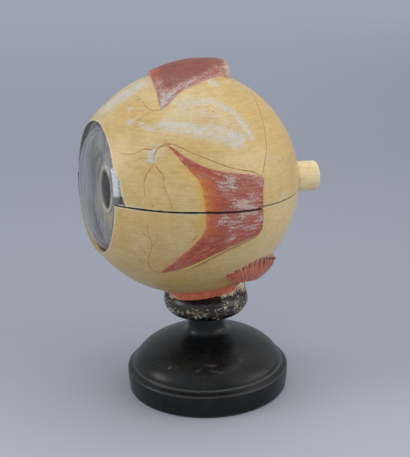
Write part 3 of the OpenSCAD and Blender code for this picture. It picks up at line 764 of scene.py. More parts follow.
def glass(name, tint, haze, rough, rim_haze_and_reflection=0.0):
    """Old glass: clear, with a faint film, dust specks and darker upright streaks; on the dome also haze and
    a painted reflection of the grey room at grazing angles.
    """
    p = Paint(name)
    at = p.ball()
    x, y, z = p.split(at)
    streaks = p.brush(at, (0.2, 0.2, 0.02), 4, 0.6, 0.4)
    film = p.noise(at, 0.05, 3, 0.6)
    dust = p.noise(at, 2.4, 2, 0.9)
    alpha = p.sum(haze[0], p.both(p.span(streaks, 0.42, 0.66), haze[1]))
    color = p.mix(p.span(film, 0.3, 0.7), tint[0], tint[1])
    color = p.lay(color, tint[2], p.span(streaks, 0.5, 0.62), 0.75)
    if rim_haze_and_reflection:
        # at grazing angles the dome turns hazier and greyer: dust haze, and a painted reflection of the grey
        # room
        facing = p.add("ShaderNodeLayerWeight")
        facing.inputs["Blend"].default_value = 0.5
        grazing_haze_and_reflection = p.span(facing.outputs["Facing"], 0.58, 0.92)
        alpha = p.sum(alpha, p.both(grazing_haze_and_reflection, rim_haze_and_reflection))
        color = p.lay(color, tint[0], grazing_haze_and_reflection)
        across = p.along(x, y, GAZE_SIDE)
        # darker upright streaks, on the temple side of the middle
        dark_upright_streaks = p.both(p.span(across, -2.0, 6.0), p.span(across, 25.0, 17.0),
                       p.both(p.span(z, -6.0, 4.0), p.span(z, 34.0, 24.0)))
        dark_upright_streaks = p.both(dark_upright_streaks, p.span(streaks, 0.4, 0.58))
        alpha = p.sum(alpha, p.both(dark_upright_streaks, 0.5))
        color = p.lay(color, srgb(96, 96, 92), dark_upright_streaks)
        # the ground edge shows white where the wall is chipped away
        ground = p.both(p.span(p.attr("rim"), 0.925, 0.945), p.span(across, 29.0, 32.0))
        ground = p.both(ground, p.span(z, 21.0, 18.5))
        scored = p.brush(at, (0.3, 0.3, 1.5), 3, 0.7, 0.4)
        frost = p.mix(p.span(scored, 0.38, 0.62), srgb(236, 240, 240), srgb(200, 208, 212))
        frost = p.lay(frost, srgb(112, 112, 108), p.span(p.sum(z, p.both(scored, 3.0)), 6.4, 5.0))
        alpha = p.sum(alpha, p.both(ground, 0.85))
        color = p.lay(color, frost, ground)
    alpha = p.math("ADD", alpha, p.both(p.span(dust, 0.62, 0.72), 0.1), clamp=True)
    shader = p.add("ShaderNodeBsdfPrincipled")
    p.put(shader.inputs["Base Color"], color)
    p.put(shader.inputs["Roughness"], p.span(film, 0.3, 0.7, rough, rough + 0.08))
    p.put(shader.inputs["Alpha"], alpha)
    p.put(shader.inputs["Normal"], p.bump(film, 0.4, 0.3))
    shader.inputs["IOR"].default_value = 1.5
    shader.inputs["Coat Weight"].default_value = 1.0
    shader.inputs["Coat Roughness"].default_value = 0.06
    p.put(p.out.inputs["Surface"], shader.outputs[0])
    return p.material


def ciliary():
    p = Paint("ciliary_paint")
    at = p.ball()
    big = p.noise(at, 0.15, 4, 0.6)
    grain = p.noise(at, 0.9, 4, 0.7)
    color = p.mix(p.span(big, 0.35, 0.65), srgb(92, 56, 40), srgb(60, 36, 28))
    color = p.lay(color, srgb(150, 110, 84), p.span(grain, 0.52, 0.7), 0.5)
    return p.finish(color, 0.45, p.bump(grain, 0.25, 0.6), Coat_Weight=0.2)


def steel():
    p = Paint("old_steel")
    at = p.world()
    brush = p.brush(at, (2.0, 2.0, 0.15), 3, 0.6)
    spots = p.noise(at, 0.5, 4, 0.7)
    color = p.mix(p.span(brush, 0.3, 0.7), srgb(150, 148, 144), srgb(184, 182, 176))
    color = p.lay(color, srgb(96, 66, 44), p.span(spots, 0.55, 0.7), 0.7)
    rough = p.span(spots, 0.4, 0.7, 0.3, 0.7)
    return p.finish(color, rough, p.bump(brush, 0.05, 0.4), Metallic=1.0)


def bare_wood():
    p = Paint("peg_wood")
    at = p.ball()
    grain = p.brush(at, (1.6, 1.6, 0.12), 4, 0.6, 0.4)
    color = p.mix(p.span(grain, 0.3, 0.7), srgb(176, 136, 84), srgb(206, 170, 116))
    return p.finish(color, 0.6, p.bump(grain, 0.12, 0.5))


def floor_paint():
    """Blue-grey studio sweep with painted light and shade: a little lighter near the camera, darker in the
    middle distance and towards the right.
    """
    p = Paint("studio_floor")
    at = p.world()
    x, y, _ = p.split(at)
    ahead = p.along(x, y, PHOTO_AHEAD)
    cloud = p.noise(at, 0.004, 3, 0.5)
    ahead = p.sum(ahead, p.both(p.less(cloud, 0.5), 60.0))
    # painted light and shade along the view: lighter near the camera, darker in the middle distance, a little
    # lighter far off
    color = p.mix(p.span(ahead, -140.0, 130.0), srgb(180, 185, 197), srgb(156, 161, 174))
    color = p.lay(color, srgb(143, 149, 163), p.span(ahead, 100.0, 700.0))
    color = p.lay(color, srgb(151, 159, 173), p.span(ahead, 900.0, 2600.0))
    # painted shade: darker towards the right, except far off
    beside = p.along(x, y, PHOTO_SIDE)
    color = p.lay(color, srgb(132, 138, 152), p.span(beside, 0.0, 700.0),
                  p.span(ahead, 2400.0, 900.0, 0.0, 0.7))
    return p.finish(color, 0.9)


# ---------------------------------------------------------------- listed lines
# Side muscle: y, z round its edge from a back corner, and its inner front edge
SIDE_OUTLINE = [
    (26.6, 18.2), (15, 21.2), (4, 23.2), (-8, 26.2), (-20, 32.4), (-29, 38.8),
    (-24.6, 32.8), (-18, 24.8), (-12.2, 18), (-10, 10), (-9.2, 2), (-8.2, -6),
    (-10, -14), (-16.6, -23.4), (-22.6, -30.6), (-29.6, -41.8), (-20, -38.9), (-10, -32.4),
    (-2, -27.2), (7, -22.6), (17, -18.7), (25, -15.8), (27.4, -10), (26.8, 0), (26.4, 10),
]
SIDE_FRONT = SIDE_OUTLINE[5:16]
# Upper muscle: x, y
UPPER_OUTLINE = [
    (7.6, 25), (9.4, 18), (17, 10), (26, -2), (31, -13), (38.4, -26.8),
    (24, -27), (6, -25.6), (-15, -22.6), (-30, -19.6), (-42, -16), (-36, -6),
    (-31, 4), (-28, 14), (-27, 26), (-8, 27.6),
]
# Slanting muscle in its own face: along, across
OBLIQUE_EDGE = [
    (-20.6, -5.4), (-14, -8.2), (-6, -10), (1, -11.4), (8, -13), (14, -15), (20, -15.6),
    (25, -13), (27, -8), (25.4, -3),
]
OBLIQUE_TURN, OBLIQUE_DROP = 32.5, 39.4
COMB_FROM, COMB_TO, COMB_LIFT = (-21, -3.6), (23.6, -0.6), 10.8
BUNDLE_N, BUNDLE_L = 11, 3.4
OBLIQUE_SHIFT = np.array([-8.0, 3.8, -11.0])
CHIP = [(-12, -22), (6, -22), (6, 0), (3, 8.6), (0.6, 15), (-4.8, 20.5), (-12, 22)]

# Painted vessels on the temple side of the ball: points, then widths in millimetres
UPPER_VESSELS = [
    ([(57.5, -22, 37), (55, -27.5, 38), (53.5, -31.5, 36), (54, -35, 32.5), (56, -36, 29)], 0.9, 0.7),
    ([(39, -52.5, 30), (43.5, -49, 30), (47, -45, 31), (49, -40.5, 34), (52.5, -36, 34)], 0.4, 0.75),
    ([(56.5, -36, 27), (56, -39, 22), (56, -41, 18.5), (57, -42, 13.5), (58.5, -41.5, 7.5)], 0.9, 0.4),
    ([(57, -35.5, 26), (60, -33, 22.5), (61.5, -31.5, 20.5), (63, -31.5, 14.5), (65, -29, 8.5)], 0.9, 0.4),
    ([(65, -29, 8.5), (66, -28, 4.5), (66.5, -27, 1.5)], 0.45, 0.25),
    ([(52, -38, 29), (49.5, -42, 28), (47, -45.5, 26)], 0.45, 0.25),
    ([(38.5, -27, 55), (36, -31, 54), (32.5, -34, 54.5), (26, -35.5, 57), (22.5, -35.5, 58.5)], 0.8, 0.4),
    ([(14, -39.5, 58.5), (15.5, -38, 59.5), (19, -36.5, 59), (21.5, -37, 58), (21, -39, 57)], 0.3, 0.5),
    ([(36.5, -31, 53.5), (35.5, -35.5, 52), (35, -40, 49), (33, -44, 46.5)], 0.6, 0.25),
    ([(33, -36, 53.5), (29, -39.5, 52.5), (25, -42, 52)], 0.5, 0.25),
    ([(40, -37, 46), (37, -42, 44), (35, -46, 42.5)], 0.4, 0.25),
]
LOWER_VESSELS = [
    ([(52.5, -26, -41.5), (50.5, -29.5, -42.5), (48.5, -33, -42), (49, -36, -39), (50.5, -37.5, -34.5),
      (53, -38, -30.5), (56.5, -37, -24.5), (58, -38, -18), (58.5, -40, -12), (59, -40.5, -7)], 0.9, 0.4),
    ([(53, -39, -29.5), (52.5, -41.5, -26), (52.5, -44, -22.5), (53, -45, -19)], 0.5, 0.3),
    ([(48, -43.5, -32), (47.5, -47, -27), (46.5, -49.5, -23.5)], 0.4, 0.25),
    ([(48.5, -39, -36), (47, -42, -33.5), (47.5, -44.5, -30), (48, -43.5, -32)], 0.45, 0.3),
    ([(47.5, -39.5, -37.5), (47, -41.5, -35.5), (45, -44.5, -34.5), (42.5, -47, -34)], 0.5, 0.25),
    ([(39.5, -28.5, -53), (37.5, -33.5, -51.5), (36.5, -37.5, -49.5)], 0.5, 0.3),
    ([(45, -34, -45), (42, -38, -44.5), (40, -42, -42.5)], 0.45, 0.25),
    ([(58, -38, -18), (56, -42, -14.5), (55.5, -44.5, -10)], 0.4, 0.25),
    ([(57, -37, -23), (59.5, -35, -18.5), (61, -34.5, -14)], 0.4, 0.25),
]
# Brown lines: above the side muscle, and from the upper muscle down behind the side muscle
SIDE_LINE = [(52, -33, 34.8), (54.5, -30, 36.5), (55.5, -27.3, 37.5), (56, -24.5, 37.5), (61.3, -16, 34),
             (65, -6.6, 30.3), (67, 4.3, 26), (67, 13, 23.5), (65.5, 21, 21.6), (63.6, 28, 18.2)]
BACK_LINE = [(18.6, 34.5, 60.4), (30.5, 35, 55), (40.4, 35, 48), (49.5, 34, 39.6), (55.6, 33, 32),
             (61, 30, 24), (63.3, 28.4, 19.2)]
# Rubbed patches: points, half width in millimetres, strength
RUBS = [
    ([(-2, -52, 49), (2, -48, 53.5), (5, -43, 57), (6, -37, 61.3), (5, -32, 64)], 7.6, 1.2),
    ([(41, -16, 57), (41, -6, 59.5), (41, 3, 59.5), (44.5, 11, 56), (48, 16, 51.5), (51.5, 20, 46.5),
      (55, 23, 40.5)], 4.2, 0.85),
    ([(38, -18, 58), (38, -9, 60.5)], 5.5, 0.7),
    ([(46.5, -27, 47), (51, -18, 46.5), (54.5, -10.5, 44.8), (57.1, -2.8, 43), (58.7, 5.3, 41),
      (59.1, 13.9, 38.8)], 6.0, 0.95),
    ([(56, 0, 45), (58, 8, 41.5), (58, 15, 40.5)], 6.0, 1.0),
    ([(44, -20, 54), (47, -4, 54), (51, 6, 51), (54, 14, 46)], 10.0, 0.56),
    ([(22, 6, 68.4), (25.5, 9, 66.8)], 4.0, 0.85),
    ([(17, 8, 69.5), (9, 16, 69.5)], 2.4, 0.95),
    ([(22.5, -43.5, 52.7), (24, -42.5, 52.7)], 2.2, 0.8),
    ([(31, -45, 46.8), (33, -43, 46.8)], 3.0, 0.9),
    ([(38, -40, 46), (42, -37, 45), (45, -34, 45)], 2.6, 0.8),
    ([(28, -49, 44), (32, -47, 44)], 2.6, 0.5),
    ([(53.4, -35.8, 32), (54.2, -36.6, 29.5)], 3.4, 1.3),
    ([(56, -33, 31), (53, -38, 28)], 4.5, 0.45),
    ([(50, -36, 37.5), (53, -33, 36), (56, -30, 33)], 2.4, 0.55),
    ([(56, 44, 5), (55, 45.5, 4)], 2.4, 0.75),
    ([(60, 33, -22), (59, 35, -21)], 2.2, 0.6),
    ([(58, 32, 27), (54, 40, 25)], 5.0, 0.45),
    ([(62, 24, 27), (64, 18, 27)], 4.0, 0.4),
    ([(30, -52, -39), (24, -56, -38)], 3.0, 0.4),
    ([(-50, -20, 47), (-57, 0, 43), (-60, 16, 34)], 6.0, 0.8),
    ([(-32, 30, 57), (-18, 40, 57), (0, 44, 57)], 6.0, 0.6),
    ([(-52, -38, 30), (-54, -36, 28)], 3.4, 0.8),
    ([(-30, 60, -26), (-10, 66, -26)], 5.0, 0.45),
]
# Dirt: place, width in millimetres, strength
GRIME_SPOTS = [
    ((3.5, -58.3, -42), 3.2, 0.9), ((10, -56, -44), 1.8, 0.7),
    ((44.6, -56.2, -5), 1.4, 0.5), ((64.6, -26.7, -17.4), 1.5, 0.62),
    ((64, -25.4, -21.2), 1.7, 0.6), ((66, -24.7, -14.7), 1.0, 0.6),
    ((62.1, -27.1, -24.4), 1.2, 0.55), ((30.7, -53, -37.9), 2.2, 0.5),
    ((43.5, -37.1, -43.9), 1.6, 0.5),
]


def ball_points(line, lift=0.0):
    """Lays a given line on the painted surface."""
    n = unit(np.asarray(line, float))
    return n * (surface_radius(n) + lift)[:, None]


# ---------------------------------------------------------------- the painted skin
def skin_masks(points):
    rub = np.zeros(len(points))
    for line, width, strength in RUBS:
        far, _ = line_distance(points, ball_points(bend(line, False, 4)))
        rub = np.maximum(rub, strength * np.exp(-(far / width) ** 2))
    grime = np.zeros(len(points))
    for place, width, strength in GRIME_SPOTS:
        far = np.linalg.norm(points - np.array(place), axis=1)
        grime = np.maximum(grime, strength * np.exp(-(far / width) ** 2))
    flat = points[:, 1:3]
    side = np.abs(points[:, 0]) > 20
    front_far, _ = line_distance(flat, bend(SIDE_FRONT, False, 4))
    front = np.where(side, -front_far, -30.0)
    outline = outline_distance(flat, bend(SIDE_OUTLINE, True, 4))
    outside = np.where(side, -outline, 30.0)
    under = (flat[:, 1] < -14) & (flat[:, 0] > -26)
    # painted shade and painted highlight below the side muscle's lower arm: a highlight band just below the
    # relief's edge, and a shade line below that in the fold
    painted_crease_shade = np.where(under, np.exp(-((outside - 2.6) / 0.7) ** 2), 0.0)
    painted_crease_shade *= smoothstep(flat[:, 0], -20, -8) * smoothstep(flat[:, 0], 31, 24)
    painted_edge_highlight = np.where(under, np.exp(-((outside - 1.1) / 0.9) ** 2), 0.0) * smoothstep(flat[:, 0], -24, -10)
    return {"rub": rub, "grime": grime, "front": front, "painted_crease_shade": painted_crease_shade, "painted_edge_highlight": painted_edge_highlight}


def build_skin(name, sign, opening, body, with_chip):
    cols, rows = 560, 150
    seam_start = 0.62
    lat = np.linspace(math.asin(seam_start / BALL_R), math.radians(89.2), rows)
    lon = np.linspace(-math.pi / 2, 1.5 * math.pi, cols, endpoint=False)
    la, lo = np.meshgrid(lat, lon, indexing="ij")
    n = np.stack([np.cos(la) * np.cos(lo), np.cos(la) * np.sin(lo), sign * np.sin(la)], -1).reshape(-1, 3)

    def settle(p):
        q = unit(p)
        return q * (surface_radius(q) + SKIN_LIFT)[:, None]

    points = settle(n)
    chip = np.array([(a + OPENING_UPPER, b) for a, b in CHIP])

    def keep(p):
        a, u = p @ GAZE_SIDE, p @ GAZE
        flare = 0.4 * np.maximum(u - OPENING_U + 1.0, 0)
        f = np.where(u > 0, np.hypot(a, p[:, 2]) - opening - flare - 0.05, 9.0)
        bore = np.where(p[:, 1] > 0, np.hypot(p[:, 0] - NERVE_AT[0], p[:, 2] - NERVE_AT[1]) - NERVE_BORE, 9.0)
        f = np.minimum(f, bore)
        if with_chip:
            ragged = 0.5 * hash_noise(p * 0.45, 3) + 0.25 * hash_noise(p * 1.3, 4)
            gone = outline_distance(np.stack([a, p[:, 2]], 1), chip) + ragged
            f = np.minimum(f, np.where(u > 30, -gone, 9.0))
        return f

    points = snap(points, keep, 0.62, settle)
    f = keep(points)
    faces = [q for q in lathe_faces(rows, cols) if min(f[list(q)]) > -0.08]
    if sign < 0:
        faces = flipped(faces)
    masks = skin_masks(points)
    seam = np.abs(points[:, 2]) - seam_start
    masks["edge"] = np.minimum(np.maximum(f, 0), np.maximum(seam, 0) * 1.3)
    wave = 0.35 * hash_noise(points * 0.35, 7) + 0.2 * hash_noise(points * 1.1, 8)
    first = np.arange(len(points)) < cols
    points[first, 2] += sign * np.maximum(wave[first], -0.2) * 0.8
    used, faces = compact(faces)
    make_mesh(name, points[used], faces, body, SKIN,
              attrs={k: v[used] for k, v in masks.items()})


# ---------------------------------------------------------------- muscles
def sheet_grid(lo, hi, step):
    xs, ys = np.arange(lo[0], hi[0] + step, step), np.arange(lo[1], hi[1] + step, step)
    gx, gy = np.meshgrid(xs, ys, indexing="ij")
    flat = np.stack([gx.ravel(), gy.ravel()], 1)
    cols = len(ys)
    faces = [
        (i * cols + j, (i + 1) * cols + j, (i + 1) * cols + j + 1, i * cols + j + 1)
        for i in range(len(xs) - 1) for j in range(cols - 1)
    ]
    return flat, faces


def trim(flat, faces, keep, reach):
    """Keeps the part of a flat grid where keep > 0, with its border moved onto the line."""
    flat = snap(flat, keep, reach)
    f = keep(flat)
    faces = [q for q in faces if min(f[list(q)]) > -0.03]
    used, faces = compact(faces)
    return flat[used], faces


def border_wall(points, faces, inner, attrs):
    """Closes the sheet with a wall from its border down to the inner points."""
    sides = {(a, b): None for q in faces for a, b in zip(q, q[1:] + q[:1])}
    border = [(a, b) for a, b in sides if (b, a) not in sides]
    index = {}
    extra = []
    for a, b in border:
        for i in (a, b):
            if i not in index:
                index[i] = len(points) + len(extra)
                extra.append(inner[i])
    wall = [(b, a, index[a], index[b]) for a, b in border]
    attrs = {k: np.concatenate([v, v[list(index)]]) for k, v in attrs.items()}
    return np.concatenate([points, np.array(extra)]), faces + wall, attrs


def fan(y, z):
    """Level lines that open towards the front, as the fibres of a side muscle do."""
    return z / (16 + 0.0067 * (27 - y) ** 2) * 16


def build_side_muscle(name, side, sign, body, node):
    outline = bend(SIDE_OUTLINE, True, 4)
    lead = bend(SIDE_FRONT, False, 4)
    step = 0.55
    flat, faces = sheet_grid((-31, 0.5 if sign > 0 else -44.0), (30, 44.0 if sign > 0 else -0.5), step)

    def keep(p):
        return np.minimum(outline_distance(p, outline), sign * p[:, 1] - 0.5)

    flat, faces = trim(flat, faces, keep, step * 0.6)
    y, z = flat[:, 0], flat[:, 1]
    d = np.maximum(outline_distance(flat, outline), 0)
    front, _ = line_distance(flat, lead)
    base = np.stack([np.sqrt(BALL_R ** 2 - y ** 2 - z ** 2), y, z], 1)
    n = unit(base)
    full = 2.0 + 4.0 * n[:, 1] - 0.1
    side_edge = np.sqrt(1 - (1 - np.clip(d / 1.1, 0, 1)) ** 2)
    ramp = smoothstep(front, 0.0, 9.0)
    away = smoothstep(np.minimum(y + 9, 40), -22, 6)
    h = np.maximum(full, 0.5) * np.minimum(side_edge, ramp * (0.4 + 0.6 * away))
    across = fan(y, z)
    ridge = 0.16 * flat_noise(y * 0.08, across, 11)
    ridge += 0.08 * flat_noise(y * 0.16, across * 2.4, 12)
    h = h + ridge * np.clip(h / 0.8, 0, 1)
    points = n * (BALL_R + SKIN_LIFT + h)[:, None]
    points[:, 2] = np.where(sign * points[:, 2] < 0.5, sign * 0.5, points[:, 2])
    block = smoothstep(y, -8, 8)
    rub = 0.13 + 0.13 * block + 0.12 * patch(y, z, (18, 6), (10, 8))
    rub += 0.12 * patch(y, z, (-2, -5), (8, 4))
    rub += 0.1 * patch(y, z, (-2, 18), (7, 5))
    rub += 0.12 * flat_noise(y * 0.16, z * 0.2, 13) + 0.08 * smoothstep(-np.abs(z), -30, -40)
    rub = np.clip(rub, 0.02, 1) * np.where(z < -12, 0.8, 1.0)
    warm = smoothstep(-np.abs(z - 4), -24, -14) * np.where(z < 0, 0.5, 1.0)
    inner = n * (BALL_R - 0.6)
    attrs = {"across": across, "run": y, "front": front, "rub": rub, "edge": d, "warm": warm}
    points, faces, attrs = border_wall(points, faces, inner, attrs)
    points[:, 0] *= side
    if side < 0:
        # on the nose side the relief rides on the swelling round the opening
        n = unit(points)
        points += n * (surface_radius(n) - BALL_R)[:, None]
        faces = flipped(faces)
    make_mesh(name, points, faces, body, MUSCLE_SIDE, node, attrs)


def upper_top(x, y):
    skin = np.sqrt((BALL_R + 2) ** 2 - x ** 2 - (y - 4) ** 2)
    across = np.sqrt(np.maximum(900 - (x + 8) ** 2, 0))
    belly = -1.5 + np.sqrt(np.maximum((50 + across) ** 2 - (y - 12) ** 2, 0))
    belly = np.where(np.abs(x + 8) < 30, belly, 0)
    top = np.maximum(skin, belly)
    gap = np.abs(skin - belly)
    return top + 0.5 * np.exp(-gap / 1.2) - 0.4


def build_upper_muscle():
    outline = bend(UPPER_OUTLINE, True, 4)
    step = 0.6
    flat, faces = sheet_grid((-44, -29), (39, 29), step)
    flat, faces = trim(flat, faces, lambda p: outline_distance(p, outline), step * 0.6)
    x, y = flat[:, 0], flat[:, 1]
    d = np.maximum(outline_distance(flat, outline), 0)
    ground = np.sqrt(BALL_R ** 2 - x ** 2 - y ** 2)
    rise = np.maximum(upper_top(x, y) - ground, 0.4)
    width = np.clip(rise * 0.45, 0.7, 3.0)
    edge = np.sqrt(1 - (1 - np.clip(d / width, 0, 1)) ** 2)
    across = x + 0.25 * y
    ridge = 0.22 * flat_noise(across * 0.7, y * 0.07, 21)
    ridge += 0.1 * flat_noise(across * 1.8, y * 0.12, 22)
    wavy = 0.5 * flat_noise(x * 0.09, y * 0.09, 23)
    top = ground + 0.1 + rise * edge + (ridge + wavy * 0.4) * np.clip(edge * rise / 2, 0, 1)
    points = np.stack([x, y, top], 1)
    corner = smoothstep(x, 8, 30) * smoothstep(y, 10, -8)
    back = smoothstep(y, 14, 25)
    low = np.exp(-((d - 3.0) / 2.6) ** 2) * smoothstep(x, -4, 8)
    rub = 0.08 + 0.16 * corner + 0.24 * back * smoothstep(d, 7, 2) + 0.14 * low
    rub += 0.08 * flat_noise(x * 0.14, y * 0.14, 24)
    inner = np.stack([x, y, ground - 0.5], 1)
    attrs = {"across": across, "run": y, "front": d + 30, "rub": rub, "edge": d}
    points, faces, attrs = border_wall(points, faces, inner, attrs)
    make_mesh("superior_rectus_relief", points, faces, "upper_half", MUSCLE_UPPER,
              "superior_rectus", attrs)


def comb_line():
    a, b = np.array(COMB_FROM, float), np.array(COMB_TO, float)
    points = []
    for i in range(BUNDLE_N - 1, -1, -1):
        for k, out in ((1, -0.2), (0.55, 0.75), (0, 1.0), (-0.55, 0.85), (-1, -0.2)):
            t = (i + 0.5 + 0.44 * k) / BUNDLE_N
            lift = COMB_LIFT * math.sin(math.pi * t ** 0.85) + out * BUNDLE_L * (0.5 + 0.5 * t)
            points.append(a + (b - a) * t + np.array([0, lift]))
    return points


def build_oblique():
    outline = np.array(list(bend(OBLIQUE_EDGE, False, 4)) + comb_line())
    step = 0.5
    flat, faces = sheet_grid((-22, -28), (29, 14), step)
    flat, faces = trim(flat, faces, lambda p: outline_distance(p, outline), step * 0.6)
    u, v = flat[:, 0], flat[:, 1]
    w = np.sqrt(BALL_R ** 2 - u ** 2 - v ** 2)
    face_turn = (Matrix.Rotation(math.radians(OBLIQUE_TURN), 3, "Z")
                 @ Matrix.Rotation(math.radians(OBLIQUE_DROP), 3, "Y"))
    n = unit(np.stack([w, u, v], 1) @ np.array(face_turn).T)
    along = n @ OBLIQUE_SHIFT
    outer = along + np.sqrt(along ** 2 - OBLIQUE_SHIFT @ OBLIQUE_SHIFT + BALL_R ** 2)
    full = np.clip(outer - BALL_R, 0.4, 7.0)
    d = np.maximum(outline_distance(flat, outline), 0)
    width = np.clip(full * 0.4, 0.6, 2.2)
    edge = np.sqrt(1 - (1 - np.clip(d / width, 0, 1)) ** 2)
    comb = COMB_TO[0] - COMB_FROM[0]
    t = (u - COMB_FROM[0]) / comb
    arch = COMB_LIFT * np.sin(math.pi * np.clip(t, 0, 1) ** 0.85)
    top = COMB_FROM[1] + (COMB_TO[1] - COMB_FROM[1]) * t + arch
    below = np.clip(top + BUNDLE_L * (0.5 + 0.5 * t) - v, 0, 24)
    lean = t - 0.5 * below / comb
    wave = 0.5 + 0.5 * np.cos(2 * math.pi * (lean * BUNDLE_N - 0.5))
    groove = (1 - wave) ** 4 * smoothstep(below, 15 * (0.6 + 0.4 * t), 3) * (0.6 + 0.4 * np.clip(t, 0, 1))
    across, run = lean * 46, -v
    ridge = 0.16 * flat_noise(across * 1.1, run * 0.1, 31)
    h = full * edge - 0.7 * groove * edge + ridge * edge
    points = n * (BALL_R + SKIN_LIFT + np.maximum(h, 0.02))[:, None]
    rub = 0.1 + 0.14 * np.exp(-(d / 1.6) ** 2) + 0.22 * smoothstep(u, 18, 27)
    inner = n * (BALL_R - 0.5)
    attrs = {"across": across, "run": run, "front": d + 30, "rub": rub, "edge": d, "groove": groove}
    points, faces, attrs = border_wall(points, faces, inner, attrs)
    make_mesh("inferior_oblique_bundles", points, faces, "stand", MUSCLE_OBLIQUE,
              "inferior_oblique", attrs)


# ---------------------------------------------------------------- painted lines
def build_ribbon(name, line, wide_start, wide_end, body, material, side=1):
    """A thin tapering line of paint that lies on the ball."""
    points = bend(line, False, 8)
    points[:, 0] *= side
    middle = ball_points(points, SKIN_LIFT + 0.05)
    tangent = np.gradient(middle, axis=0)
    n = unit(middle)
    out = unit(np.cross(tangent, n))
    share = np.linspace(0, 1, len(middle))
    half = 0.4 * (wide_start + (wide_end - wide_start) * share)
    half *= 1 + 0.3 * hash_noise(middle * 0.8, 41)
    half *= np.clip(np.minimum(share, 1 - share) * 9 + 0.35, 0, 1)
    rows = [middle - out * half[:, None] - n * 0.05, middle, middle + out * half[:, None] - n * 0.05]
    count = len(middle)
    faces = [
        (k * count + i, k * count + i + 1, (k + 1) * count + i + 1, (k + 1) * count + i)
        for k in range(2) for i in range(count - 1)
    ]
    make_mesh(name, np.concatenate(rows), faces, body, material)


def build_vessels():
    for body, tag, group in (("upper_half", "upper", UPPER_VESSELS), ("stand", "lower", LOWER_VESSELS)):
        for side, where in ((1, "temple"), (-1, "nose")):
            for i, (line, start, end) in enumerate(group):
                build_ribbon(f"vessel_{tag}_{where}_{i + 1}", line, start, end, body, VESSEL, side)
    for side, where in ((1, "temple"), (-1, "nose")):
        build_ribbon(f"muscle_line_{where}", SIDE_LINE, 0.7, 1.0, "upper_half", BROWN_LINE, side)
        build_ribbon(f"back_line_{where}", BACK_LINE, 0.8, 0.8, "upper_half", BROWN_LINE, side)


# ---------------------------------------------------------------- glass, iris, lens
def crown(r, rise, power, steps=40):
    return [
        (r * math.sin(math.radians(90 * k / steps)),
         rise * (1 - math.sin(math.radians(90 * k / steps)) ** power))
        for k in range(steps + 1)
    ]


def build_cornea():
    seat, rim, rise, thick, power = IRIS_FRONT + 0.3, 3.0, 10.2, 1.6, 4.2
    outer = [(r, seat + rim + h) for r, h in crown(PLUG_R, rise, power)]
    inner = [(r, seat + rim + h - thick) for r, h in crown(PLUG_R - thick, rise, power)]
    outer[0], inner[0] = (0.02, outer[0][1]), (0.02, inner[0][1])
    wall = [(PLUG_R, seat + rim * 0.5), (PLUG_R, seat + 0.4), (PLUG_R - 0.4, seat),
            (PLUG_R - thick + 0.4, seat), (PLUG_R - thick, seat + 0.4)]
    profile = outer + wall + inner[::-1]
    points, faces = lathe(profile, 200)
    rim = np.repeat([min(r / PLUG_R, 1.0) for r, _ in profile], 200)
    make_mesh("cornea_glass_dome", points, flipped(faces), "cornea", GLASS, "cornea_glass",
              {"rim": rim})


def build_iris():
    cols, rings = 240, 36
    angle = np.linspace(0, 2 * math.pi, cols, endpoint=False)
    share = np.linspace(0, 1, rings)
    rows, ring, turn = [], [], []

    def add(s, u):
        r_in = np.stack([PUPIL_R * np.cos(angle), PUPIL_R * np.sin(angle) - PUPIL_DROP], 1)
        r_out = np.stack([PLUG_R * np.cos(angle), PLUG_R * np.sin(angle)], 1)
        flat = r_in * (1 - s) + r_out * s
        rows.append(np.column_stack([flat, np.broadcast_to(u, (cols,))]))
        ring.append(np.full(cols, s))
        turn.append(np.minimum(angle, 2 * math.pi - angle) + 0.2 * np.sin(angle * 3))

    back = IRIS_FRONT - IRIS_T
    add(1.0, back)
    add(1.0, IRIS_FRONT - 0.4)
    for s in share[::-1]:
        fold = 0.14 * flat_noise(np.cos(angle) * 14, np.sin(angle) * 14, 51, s * 3)
        dish = -0.35 * math.sin(math.pi * s)
        add(s, IRIS_FRONT + dish + fold * math.sin(math.pi * s) - 0.02)
    add(0.0, back)
    add(1.0, back)
    faces = lathe_faces(len(rows), cols)
    attrs = {"ring": np.concatenate(ring), "turn": np.concatenate(turn)}
    make_mesh("iris_painted_disc", on_axis(np.concatenate(rows)), flipped(faces), "iris",
              IRIS, "iris_disc", attrs)


def build_pupil_ring():
    profile = [(PUPIL_R, IRIS_FRONT - 0.1)] + arc((PUPIL_R + 0.5, IRIS_FRONT + 0.5), 0.5, 180, 90, 5)
    profile += arc((PUPIL_R + RING_W - 0.9, IRIS_FRONT + 0.1), 0.9, 90, 0, 8)
    profile += [(PUPIL_R + RING_W, IRIS_FRONT - 0.1), (PUPIL_R, IRIS_FRONT - 0.1)]
    points, faces = lathe(profile, 144, PUPIL_DROP)
    make_mesh("pupil_ring_ivory", points, flipped(faces), "iris", IVORY, "pupil_ring")


def build_lens():
    front, back, edge, r = 60.0, LENS_BACK_R, 1.5, 27.0
    lens_front = IRIS_FRONT - IRIS_T - 2.0
    front_sag = front - math.sqrt(front ** 2 - r ** 2)
    back_sag = back - math.sqrt(back ** 2 - r ** 2)
    rim_front = lens_front - front_sag
    lens_back = rim_front - edge - back_sag
    steps = np.linspace(0.02, r, 30)
    profile = [(s, lens_front - front + math.sqrt(front ** 2 - s ** 2)) for s in steps]
    profile += [(s, lens_back + back - math.sqrt(back ** 2 - s ** 2)) for s in steps[::-1]]
    points, faces = lathe(profile, 160)
    make_mesh("crystalline_lens_glass", points, flipped(faces), "lens", LENS,
              "crystalline_lens")
    return lens_back


